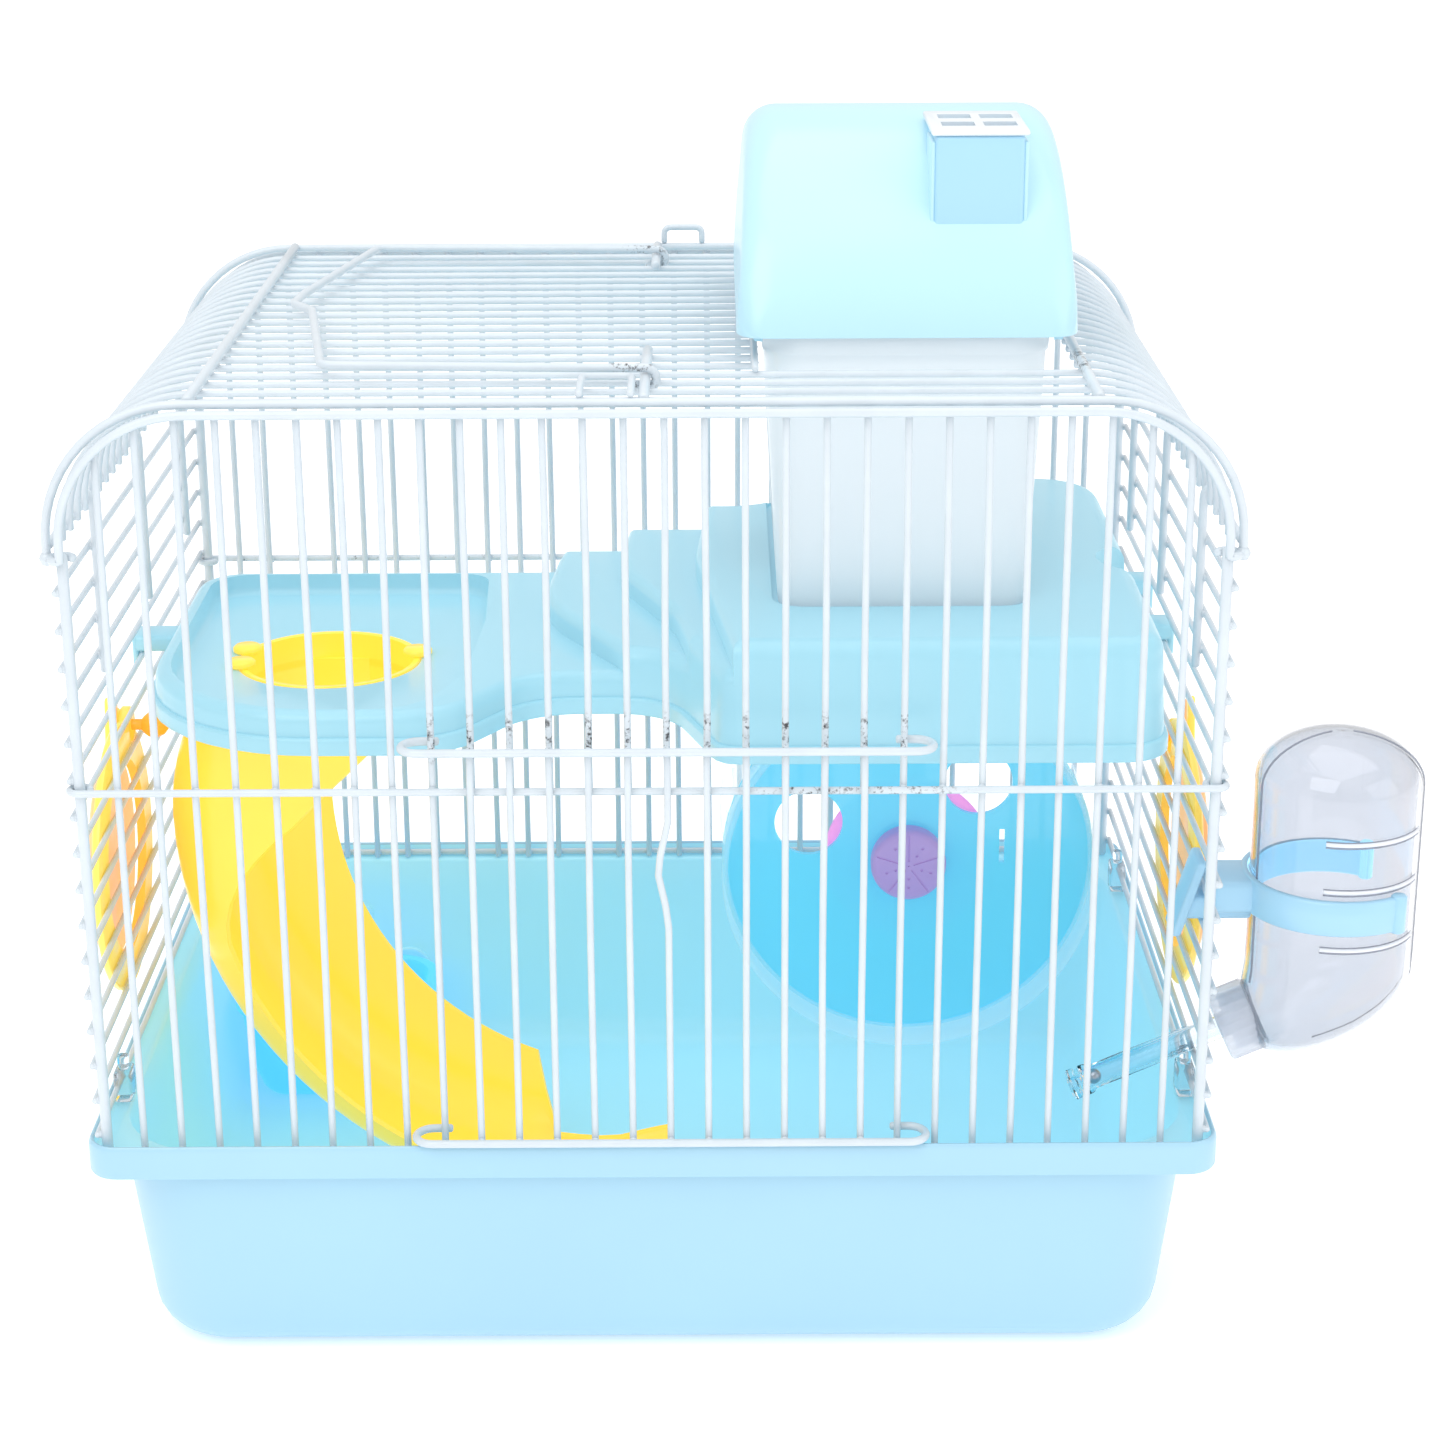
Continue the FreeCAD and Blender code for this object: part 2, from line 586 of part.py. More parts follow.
def make_roof_frame():
    """Front and back frame wires of the roof, with small balls on their ends."""
    arches = []
    frame = size("frame_radius")
    for side in (-1, 1):
        y = side * (HALF_DEPTH - 0.7)
        wire = round_wire(arch_edges(141.3, y, ROOF_ARCH_Z, 33, ROOF_ARCH_Z - 3), frame)
        balls = [Part.makeSphere(1.9, V(end * 141.3, y, ROOF_ARCH_Z - 4)) for end in (-1, 1)]
        arches.append(wire.fuse(balls))
    feature("roof_frame", Part.makeCompound(arches))
    span = 2 * (HALF_DEPTH - 0.7) - 2 * frame
    cross_z = "dims.roof_height + dims.roof_radius + dims.cross_radius"
    group("roof_cross_rods", [cylinder("cross_rod_%d" % number_, "dims.cross_radius", span, side, -span / 2, cross_z,
                                       along="Y")
                              for number_, side in ((1, "-dims.cross_place"), (2, "dims.cross_place"))])
    rod_x = ROOF_EDGE_X + size("roof_radius") + frame
    group("roof_end_rods", [cylinder("end_rod_%d" % (1 + (side > 0)), "dims.frame_radius", span, side * rod_x,
                                     -span / 2, ROOF_ARCH_Z - 1, along="Y") for side in (-1, 1)])
    border = cylinder("opening_border", "dims.roof_radius", "2 * dims.opening_half_depth + 4", "dims.opening_left",
                      "-dims.opening_half_depth - 2", "dims.roof_height + 2 * dims.roof_radius", along="Y")
    keep("roof_opening_wire", border)


def make_latches():
    """A flat loop that holds the roof's front edge and a loop standing on its back edge."""
    edge_y = HALF_DEPTH - 0.7
    front_z = size("roof_height") + 1.5 + size("frame_radius") + size("wire_radius") - 0.05
    flat = [V(-15, -edge_y, front_z), V(-15, -80, front_z), V(-3, -80, front_z), V(-3, -edge_y, front_z)]
    feature("front_latch", round_wire(bent_edges(flat, 2.5), size("wire_radius")))
    low = front_z - size("wire_radius") + 0.15
    standing = [V(2, edge_y, low), V(2, edge_y, low + 4.6), V(13, edge_y, low + 4.6), V(13, edge_y, low)]
    feature("back_latch", round_wire(bent_edges(standing, 2.5), size("wire_radius")))


PIVOT_Z = size("roof_height") + size("roof_radius") + size("pivot_radius")


def make_handle():
    """Two short bars on the roof and the bail handle whose eyes turn on them."""
    outer = HALF_DEPTH - 0.7 - size("frame_radius")
    bars = [cylinder("pivot_bar_front", "dims.pivot_radius", outer - 45, "0", -outer, PIVOT_Z, along="Y"),
            cylinder("pivot_bar_back", "dims.pivot_radius", outer - 66, "0", "66", PIVOT_Z, along="Y")]
    group("handle_pivot_bars", bars)
    curl = size("pivot_radius") + 0.25 + size("frame_radius")
    eye_y, top = size("eye_place"), PIVOT_Z + curl
    leg = [V(0, -eye_y, top), V(-9, -eye_y, top), V(-78, -73, top), V(-88, -8, top), V(-94, 1, top),
           V(-93, 14, top), V(-80, 81, top), V(-9, eye_y, top), V(0, eye_y, top)]
    eyes = [arc_edge(V(0, y, PIVOT_Z), curl, V(1, 0, 0), V(0, 0, 1), -170, 90) for y in (-eye_y, eye_y)]
    feature("carry_handle", round_wire([eyes[0]] + bent_edges(leg, 5) + [eyes[1]], size("frame_radius")))


def make_door():
    """Upright door wires and two bars whose ends hook round the panel wires beside the opening."""
    first, last = int(size("door_first")), int(size("door_last"))
    wires = []
    for index in range(first + 1, last):
        wires.append(cylinder("door_wire_%02d" % index, "dims.wire_radius", "dims.door_top - dims.door_bottom + 1.2",
                              "-dims.bays_across * dims.pitch_across / 2 + %d * dims.pitch_across" % index,
                              "-dims.door_wire_place", "dims.door_bottom - 0.6"))
    group("door_wires", wires)
    bar_radius = size("door_bar_radius")
    bar_y = -(size("door_wire_place") + size("wire_radius") + bar_radius)
    curl = 4.4
    left, right = wire_x(first) - 2.75, wire_x(last) + 2.75
    bars = []
    for height in (size("door_bottom"), size("door_top")):
        inner_y = bar_y + 2 * curl
        edges = [Part.LineSegment(V(left + 4.5, inner_y, height), V(left, inner_y, height)).toShape(),
                 arc_edge(V(left, bar_y + curl, height), curl, V(0, 1, 0), V(-1, 0, 0), 0, 180),
                 Part.LineSegment(V(left, bar_y, height), V(right, bar_y, height)).toShape(),
                 arc_edge(V(right, bar_y + curl, height), curl, V(0, -1, 0), V(1, 0, 0), 0, 180),
                 Part.LineSegment(V(right, inner_y, height), V(right - 4.5, inner_y, height)).toShape()]
        bars.append(round_wire(edges, bar_radius))
    feature("door_bars", Part.makeCompound(bars))


# ---------------------------------------------------------------------------------------------------
# Platform and slide
# ---------------------------------------------------------------------------------------------------
BLOCK_FRONT, BLOCK_RIGHT, BLOCK_BACK = -86.5, 129.5, 78.0
DECK_OUTLINE = [(-131.5, 49, 14), (-131.5, -79, 48), (-50, -79, 22), (-31, -48, 22), (4, -48, 18),
                (17, BLOCK_FRONT, 7), (BLOCK_RIGHT, BLOCK_FRONT, 12), (BLOCK_RIGHT, BLOCK_BACK, 20),
                (44, BLOCK_BACK, 14), (28, 49, 14)]
SECOND_STEP = [(-27, 52, 14), (-27, -34, 12), (9, -42, 12), (20, BLOCK_FRONT + 2, 8),
               (BLOCK_RIGHT - 1, BLOCK_FRONT + 2, 12), (BLOCK_RIGHT - 1, BLOCK_BACK - 1, 19),
               (45, BLOCK_BACK - 1, 14), (30, 52, 12)]
THIRD_STEP = [(-8, 54, 13), (-8, -25, 12), (14, -38, 12), (23, BLOCK_FRONT + 3, 9),
              (BLOCK_RIGHT - 1.5, BLOCK_FRONT + 3, 12), (BLOCK_RIGHT - 1.5, BLOCK_BACK - 1.5, 19),
              (46, BLOCK_BACK - 1.5, 14), (32, 54, 10)]
TOP_STEP = [(12, 56, 12), (15, -20, 40), (25, BLOCK_FRONT + 4, 12),
            (BLOCK_RIGHT - 2, BLOCK_FRONT + 4, 12), (BLOCK_RIGHT - 2, BLOCK_BACK - 2, 18),
            (47, BLOCK_BACK - 2, 12), (35, 56, 8)]
LOW_DECK = [(-126, 44, 11), (-126, -74.5, 44), (-58, -74.5, 18), (-48, -45, 10), (-48, 44, 8)]


def make_platform():
    """One moulded shell: a low deck with a hole for the slide, three steps and a hollow high block."""
    wall = size("deck_wall")
    bottom = size("deck_bottom")
    heights = [size(name) for name in ("step_one", "step_two", "step_three", "step_top")]
    outlines = [DECK_OUTLINE, SECOND_STEP, THIRD_STEP, TOP_STEP]
    shape = prism(outlines[0], bottom, heights[0])
    for outline, low, high in zip(outlines[1:], heights, heights[1:]):
        shape = shape.fuse(prism(outline, low, high))
    roofs = [size("deck_floor") - wall, heights[1] - wall, heights[2] - wall, heights[3] - 2 * wall]
    shape = shape.cut(prism(DECK_OUTLINE, bottom - 1, roofs[0], inset=wall))
    right_part = Part.makeBox(400, 400, 100, V(-46, -200, bottom - 1))
    shape = shape.cut(prism(DECK_OUTLINE, roofs[0], heights[0] - wall, inset=wall).common(right_part))
    for outline, low, high in zip(outlines[1:], heights, roofs[1:]):
        shape = shape.cut(prism(outline, low - wall, high, inset=wall))
    shape = shape.cut(prism(LOW_DECK, size("deck_floor"), heights[0] + 1))
    hole = Part.makeCylinder(size("hole_radius"), 40, V(size("hole_x"), size("hole_y"), bottom - 10))
    notch = Part.makeCylinder(12.5, 60, V(BLOCK_RIGHT + 1, -11, bottom - 10))
    notch_wall = Part.makeCylinder(12.5 + wall, heights[3] - bottom, V(BLOCK_RIGHT + 1, -11, bottom))
    notch_wall = notch_wall.common(Part.makeBox(40, 60, 40, V(BLOCK_RIGHT - 40 - wall, -40, bottom)))
    shape = shape.fuse(notch_wall).cut(hole).cut(notch)
    half_w, half_d = size("house_width") / 2 + 1.6, size("house_depth") / 2 + 1.6
    middle = size("house_x")
    foot = [(middle + sx * half_w, sy * half_d, 8) for sx, sy in ((-1, -1), (1, -1), (1, 1), (-1, 1))]
    shape = shape.cut(prism(foot, heights[3] - wall, heights[3] + 1))
    for side, edge_x, places in ((-1, 131.5, (4,)), (1, BLOCK_RIGHT, (10, 52))):
        for y in places:
            shape = shape.fuse(platform_hook(side, edge_x, y))
    feature("platform", shape.removeSplitter())


def platform_hook(side, edge_x, y):
    """A tab that rests on a side wire and turns down behind it."""
    wire_z = size("side_first_height") + 10 * size("pitch_across")
    low = wire_z + size("side_radius") + 0.05
    outer = SIDE_X + size("side_radius") + 0.1
    arm = Part.makeBox(outer + 1.6 - edge_x + 2, 12, 5, V(min(side * (edge_x - 2), side * (outer + 1.6)), y - 6, low))
    lip = Part.makeBox(1.6, 12, 9, V(side * outer if side > 0 else -outer - 1.6, y - 6, low - 4))
    return arm.fuse(lip)


def chute_section(point, inward, half_width, depth, wall, corner):
    """U-shaped closed section: point is on the underside, inward points into the channel."""
    across = V(0, 1, 0)
    def at(side, rise):
        return point + across * side + inward * rise
    def bend(side, near, r):
        middle_side = side * (half_width - corner)
        centre = at(middle_side, corner)
        tip = centre + across * (math.copysign(r, side) * math.sqrt(0.5)) - inward * (r * math.sqrt(0.5))
        foot, flank = centre - inward * r, centre + across * math.copysign(r, side)
        return Part.Arc(flank, tip, foot).toShape() if near else Part.Arc(foot, tip, flank).toShape()
    inner = half_width - wall
    small = corner - wall
    outline = [Part.LineSegment(at(-half_width, depth), at(-half_width, corner)).toShape(), bend(-1, True, corner),
               Part.LineSegment(at(-half_width + corner, 0), at(half_width - corner, 0)).toShape(),
               bend(1, False, corner), Part.LineSegment(at(half_width, corner), at(half_width, depth)).toShape(),
               Part.LineSegment(at(half_width, depth), at(inner, depth)).toShape(),
               Part.LineSegment(at(inner, depth), at(inner, corner)).toShape(), bend(1, True, small),
               Part.LineSegment(at(inner - small, wall), at(-inner + small, wall)).toShape(), bend(-1, False, small),
               Part.LineSegment(at(-inner, corner), at(-inner, depth)).toShape(),
               Part.LineSegment(at(-inner, depth), at(-half_width, depth)).toShape()]
    return Part.Wire(outline)


def chute_outline(point, half_width, depth):
    """Closed outline of the channel's upper end, seen from above."""
    corner = 16
    def at(side, reach):
        return point + V(reach, side, 0)
    ends = [at(-half_width, depth), at(-half_width, corner), at(-half_width + corner, 0),
            at(half_width - corner, 0), at(half_width, corner), at(half_width, depth)]
    tip = corner * (1 - math.sqrt(0.5))
    return Part.Wire([Part.LineSegment(ends[0], ends[1]).toShape(),
                      Part.Arc(ends[1], at(-half_width + tip, tip), ends[2]).toShape(),
                      Part.LineSegment(ends[2], ends[3]).toShape(),
                      Part.Arc(ends[3], at(half_width - tip, tip), ends[4]).toShape(),
                      Part.LineSegment(ends[4], ends[5]).toShape(), Part.LineSegment(ends[5], ends[0]).toShape()])


def make_chute():
    """The yellow slide: an open channel that leaves the deck's hole and sweeps down to the tray floor."""
    big, bend = size("chute_radius"), size("chute_upper_radius")
    centre = V(size("chute_centre_x"), size("hole_y"), size("chute_centre_z"))
    rim = V(size("chute_rim_x"), size("hole_y"), size("chute_rim_z"))
    rise = size("chute_top") - centre.z
    stations = []
    for share in (1, 2 / 3, 1 / 3):
        up = rise * share
        stations.append((centre + V(bend - big - math.sqrt(bend ** 2 - up ** 2), 0, up), V(1, 0, 0)))
    for step in range(10):
        angle = math.radians(10 * step)
        inward = V(math.cos(angle), 0, math.sin(angle))
        stations.append((centre - inward * big, inward))
    stations.append((stations[-1][0] + V(14, 0, 0.8), V(0, 0, 1)))
    sections = []
    for point, inward in stations:
        along = (rim - point).dot(inward)
        depth = along - math.sqrt(size("chute_rim_radius") ** 2 - (rim - point).Length ** 2 + along ** 2)
        sections.append(chute_section(point, inward, size("chute_half_width"), depth, size("chute_wall"), 16))
    channel = Part.makeLoft(sections, True, False)
    lid_outline = chute_outline(stations[0][0], size("chute_half_width"), 36)
    flange = Part.Face(lid_outline).extrude(V(0, 0, -2))
    outer = size("hole_radius") - 0.3
    middle = V(size("hole_x"), size("hole_y"), size("chute_top") - 2)
    height = size("deck_floor") - middle.z
    collar = Part.makeCylinder(outer, height, middle).cut(Part.makeCylinder(outer - 1.8, height, middle))
    tabs = [Part.makeBox(5, 9, 1.6, middle + V(x, -4.5, height + 0.05)) for x in (-outer - 3, outer - 2)]
    posts = [Part.makeBox(2, 9, height + 1.6, middle + V(x, -4.5, 0.05)) for x in (-outer, outer - 2)]
    bore = Part.makeCylinder(outer - 1.8, height + 9, middle - V(0, 0, 1))
    top = collar.fuse(tabs + posts).cut(bore)
    feature("slide_chute", channel.fuse([flange.cut(bore), top]).removeSplitter())


# ---------------------------------------------------------------------------------------------------
# Running wheel (its axis runs front to back)
# ---------------------------------------------------------------------------------------------------
def make_wheel():
    bore = "dims.axle_radius + dims.axle_play"
    disc = new_body("wheel_disc")
    face = new_sketch(disc, "disc_outline", "XZ_Plane")
    draw_circle(face, "dims.wheel_radius", "dims.wheel_x", "dims.wheel_z")
    draw_circle(face, bore, "dims.wheel_x", "dims.wheel_z")
    for angle in (158, 50):
        draw_circle(face, "dims.eye_hole_radius", "dims.wheel_x + dims.eye_hole_place * cos(%d)" % angle,
                    "dims.wheel_z + dims.eye_hole_place * sin(%d)" % angle)
    pad(disc, face, "dims.wheel_wall", "disc_pad", backwards=True)
    drum = new_body("wheel_drum")
    ring = new_sketch(drum, "drum_outline", "XZ_Plane", "-dims.wheel_wall")
    draw_circle(ring, "dims.wheel_radius", "dims.wheel_x", "dims.wheel_z")
    draw_circle(ring, "dims.wheel_radius - dims.wheel_wall", "dims.wheel_x", "dims.wheel_z")
    pad(drum, ring, "dims.wheel_depth - dims.wheel_wall", "drum_pad", backwards=True)
    hub = new_body("wheel_hub")
    collar = new_sketch(hub, "hub_collar", "XZ_Plane", "-dims.wheel_wall")
    draw_circle(collar, "dims.flange_radius", "dims.wheel_x", "dims.wheel_z")
    draw_circle(collar, bore, "dims.wheel_x", "dims.wheel_z")
    pad(hub, collar, "2.4", "hub_collar_pad", backwards=True)
    sleeve = new_sketch(hub, "hub_sleeve", "XZ_Plane", "-dims.wheel_wall - 2.4")
    draw_circle(sleeve, "dims.hub_radius", "dims.wheel_x", "dims.wheel_z")
    draw_circle(sleeve, bore, "dims.wheel_x", "dims.wheel_z")
    pad(hub, sleeve, "dims.wheel_depth - 6", "hub_sleeve_pad", backwards=True)
    cap = new_body("wheel_hub_cap")
    front = new_sketch(cap, "cap_outline", "XZ_Plane")
    draw_circle(front, "dims.hub_cap_radius", "dims.wheel_x", "dims.wheel_z")
    pad(cap, front, "5", "cap_pad")
    space = new_sketch(cap, "cap_space", "XZ_Plane")
    draw_circle(space, "dims.hub_cap_radius - 2", "dims.wheel_x", "dims.wheel_z")
    pocket(cap, space, "3.6", "cap_inside")


def make_wheel_mount():
    """Bracket under the platform, the axle fixed in it and the washer that keeps the wheel on."""
    arm_y = "dims.wheel_depth + 4"
    top = "dims.step_top - 2 * dims.deck_wall"
    arm = box("bracket_arm", "16", "6", top + " - dims.wheel_z", "dims.wheel_x - 8", arm_y, "dims.wheel_z")
    boss = cylinder("bracket_boss", "8", "6", "dims.wheel_x", arm_y, "dims.wheel_z", along="Y")
    foot = box("bracket_foot", "40", "22", "3", "dims.wheel_x - 20", arm_y + " - 8", top + " - 3")
    seat = cylinder("bracket_seat", "dims.axle_radius", "8", "dims.wheel_x", arm_y + " - 1", "dims.wheel_z", along="Y")
    keep("wheel_bracket", cut("wheel_bracket", fuse("bracket_body", arm, boss, foot), seat))
    keep("wheel_axle", cylinder("wheel_axle", "dims.axle_radius", "dims.wheel_depth + 10 + 2.6", "dims.wheel_x",
                                "-2.6", "dims.wheel_z", along="Y"))
    washer = cylinder("washer_disc", "6", "0.8", "dims.wheel_x", "-1.3", "dims.wheel_z", along="Y")
    washer_bore = cylinder("washer_bore", "dims.axle_radius", "2", "dims.wheel_x", "-2", "dims.wheel_z", along="Y")
    keep("axle_washer", cut("axle_washer", washer, washer_bore))


# ---------------------------------------------------------------------------------------------------
# House and its lid
# ---------------------------------------------------------------------------------------------------
def make_house():
    body = new_body("house_box")
    foot = new_sketch(body, "house_foot_outline", offset="dims.house_foot")
    draw_rounded_rectangle(foot, "dims.house_width", "dims.house_depth", "dims.house_corner", "dims.house_x")
    pad(body, foot, "dims.house_height", "house_block", "dims.house_draft")
    inside = new_sketch(body, "house_inside_outline", offset="dims.house_foot + dims.house_wall")
    draw_rounded_rectangle(inside, "dims.house_width - 2 * dims.house_wall",
                           "dims.house_depth - 2 * dims.house_wall", "dims.house_corner - dims.house_wall",
                           "dims.house_x")
    pocket(body, inside, "dims.house_height", "house_inside", "dims.house_draft")
    door = new_sketch(body, "house_door_outline", "YZ_Plane", "dims.house_x - dims.house_width / 2 - 10")
    draw_rounded_rectangle(door, "dims.house_door_width", "dims.house_door_height", "16", "0",
                           "dims.house_foot + dims.house_wall + dims.house_door_height / 2")
    pocket(body, door, "20", "house_doorway")


def barrel(name, radius, width):
    """The part of a level cylinder above the lid's lower edge."""
    left = "dims.house_x - (%s) / 2" % width
    whole = cylinder(name + "_barrel", radius, width, left, "0", "dims.lid_axis_height", along="X")
    keeper = box(name + "_keeper", width, "200", "100", left, "-100", "dims.lid_bottom")
    result = doc.addObject("Part::Common", name)
    result.Base, result.Tool = whole, keeper
    return result


def make_lid():
    outside = barrel("lid_outside", "dims.lid_radius", "dims.lid_width")
    inside = barrel("lid_inside", "dims.lid_radius - dims.lid_wall", "dims.lid_width - 2 * dims.lid_wall")
    chimney_height = "dims.chimney_top - dims.lid_axis_height - 30"
    chimney = box("lid_chimney", "dims.chimney_width", "dims.chimney_depth", chimney_height,
                  "dims.chimney_x - dims.chimney_width / 2", "-dims.chimney_front", "dims.lid_axis_height + 30")
    flue = box("lid_flue", "dims.chimney_width - 3.2", "dims.chimney_depth - 3.2", "60",
               "dims.chimney_x - dims.chimney_width / 2 + 1.6", "-dims.chimney_front + 1.6", "dims.lid_axis_height + 20")
    ledge_z = "dims.house_foot + dims.house_height + 0.2"
    inner_half = "(dims.lid_width / 2 - dims.lid_wall)"
    ledges = [box("lid_ledge_left", "8", "96", "1.6", "dims.house_x - " + inner_half + " - 0.2", "-48", ledge_z),
              box("lid_ledge_right", "8", "96", "1.6", "dims.house_x + " + inner_half + " - 7.8", "-48", ledge_z)]
    shell = cut("lid_shell", fuse("lid_solid", outside, chimney), inside, flue)
    keep("house_lid", fuse("house_lid", shell, *ledges))
    vent = box("vent_plate", "dims.chimney_width + 2", "dims.chimney_depth + 1", "1.5",
               "dims.chimney_x - dims.chimney_width / 2 - 1", "-dims.chimney_front - 0.5", "dims.chimney_top")
    slots = [box("vent_slot_%d%d" % (col, row), "8", "7", "4", "dims.chimney_x - 9.2 + %s" % (col * 10.4),
                 "-dims.chimney_front + %s" % (6 + 13 * row), "dims.chimney_top - 1")
             for col in (0, 1) for row in (0, 1)]
    keep("chimney_vent", cut("chimney_vent", vent, *slots))


# ---------------------------------------------------------------------------------------------------
# Water bottle with its holder
# ---------------------------------------------------------------------------------------------------
def along_neck(distance):
    """Expressions for a point on the neck's axis, measured towards the drinking tube."""
    return ("dims.neck_x - (%s) * cos(dims.neck_tilt)" % distance, "dims.bottle_y",
            "dims.neck_z - (%s) * sin(dims.neck_tilt)" % distance)


def neck_cylinder(name, radius, length, distance):
    """A cylinder on the neck's axis that runs towards the drinking tube."""
    thing = doc.addObject("Part::Cylinder", name)
    bind(thing, Radius=radius, Height=length)
    return place(thing, *along_neck(distance), V(0, 1, 0), -90 - size("neck_tilt"))


def make_bottle():
    skins = []
    for name, inset in (("bottle_outside", "0"), ("bottle_inside", "dims.bottle_wall")):
        radius = "dims.bottle_radius - " + inset
        side = cylinder(name + "_side", radius, "dims.bottle_shoulder - dims.bottle_low", "dims.bottle_x",
                        "dims.bottle_y", "dims.bottle_low")
        base = place(bind(doc.addObject("Part::Sphere", name + "_base"), Radius=radius), "dims.bottle_x",
                     "dims.bottle_y", "dims.bottle_low")
        dome = doc.addObject("Part::Ellipsoid", name + "_dome")
        bind(dome, Radius1="dims.bottle_dome - " + inset, Radius2=radius, Radius3=radius)
        place(dome, "dims.bottle_x", "dims.bottle_y", "dims.bottle_shoulder")
        neck_end = "25.6" if inset == "0" else "26.6"
        neck = neck_cylinder(name + "_neck", "dims.neck_radius - " + inset, neck_end, -24)
        skins.append(fuse(name, side, base, dome, neck))
    keep("bottle_body", cut("bottle_body", *skins))
    shell = neck_cylinder("cap_shell", "dims.cap_radius", "dims.cap_length", -3.4)
    inside = neck_cylinder("cap_space_round", "dims.neck_radius + 0.35", "dims.cap_length - 2.4", -4.4)
    hole = neck_cylinder("cap_hole", "dims.tube_radius", "8", 2)
    keep("bottle_cap", cut("bottle_cap", shell, inside, hole))
    seal = neck_cylinder("seal_disc", "dims.neck_radius", "1.2", 1.95)
    seal_hole = neck_cylinder("seal_hole", "dims.tube_radius", "3", 1)
    keep("bottle_seal", cut("bottle_seal", seal, seal_hole))
    tube = neck_cylinder("tube_outside", "dims.tube_radius", "dims.tube_length + 5", 2)
    tip = neck_cylinder("tube_tip", "dims.tube_radius + 0.9", "5", "dims.tube_length + 2")
    bore = neck_cylinder("tube_bore_round", "dims.tube_bore", "dims.tube_length + 3", 0)
    mouth = neck_cylinder("tube_mouth", "dims.tube_bore - 0.9", "10", "dims.tube_length")
    keep("drinking_tube", cut("drinking_tube", fuse("tube_solid", tube, tip), bore, mouth))
    ball = bind(doc.addObject("Part::Sphere", "tube_ball"), Radius="dims.ball_radius")
    keep("tube_ball", place(ball, *along_neck("dims.tube_length + 0.6")))


def make_bottle_holder():
    """An open band round the bottle, with an arm between the side wires and a blade behind them."""
    radius = size("bottle_radius") + 0.02
    outer = radius + size("band_wall")
    axis = V(size("bottle_x"), size("bottle_y"), size("band_bottom"))
    height = size("band_height")
    band = Part.makeCylinder(outer, height, axis).cut(Part.makeCylinder(radius, height, axis))
    gap = Part.Face(Part.makePolygon([axis, axis + V(40, -60, 0), axis + V(60, 0, 0), axis + V(40, 60, 0), axis]))
    band = band.cut(gap.extrude(V(0, 0, height)))
    wire_low = size("side_first_height") + 5 * size("pitch_across") + size("side_radius") + 0.4
    arm_left = SIDE_X - size("side_radius") - 3.4
    arm = Part.makeBox(axis.x - outer + 2 - arm_left, 10, 6.4, V(arm_left, axis.y - 5, wire_low))
    arm = arm.cut(Part.makeCylinder(radius, 40, axis - V(0, 0, 10)))
    pad_left = SIDE_X + size("side_radius") + 0.1
    pad_block = Part.makeBox(axis.x - outer + 3 - pad_left, 18, height, V(pad_left, axis.y - 9, axis.z))
    pad_block = pad_block.cut(Part.makeCylinder(radius, 40, axis - V(0, 0, 10)))
    blade = Part.makeBox(2.4, 12, 17, V(arm_left - 2.4, axis.y - 6, wire_low - 5.3))
    feature("bottle_holder", band.fuse([pad_block, arm, blade]))


# ---------------------------------------------------------------------------------------------------
# Side ports
# ---------------------------------------------------------------------------------------------------
PORT_GAP = 0.3
PIN_SHIFT = 17.5
PIN_RISE = {"left": 31.0, "right": 26.9}


def side_plate(corners, start, thickness):
    """A flat plate standing across X, its corners given as (y, z, radius)."""
    face = Part.Face(rounded_polygon(corners))
    face.rotate(V(0, 0, 0), V(1, 1, 1), 120)
    face.translate(V(start, 0, 0))
    return face.extrude(V(thickness, 0, 0))


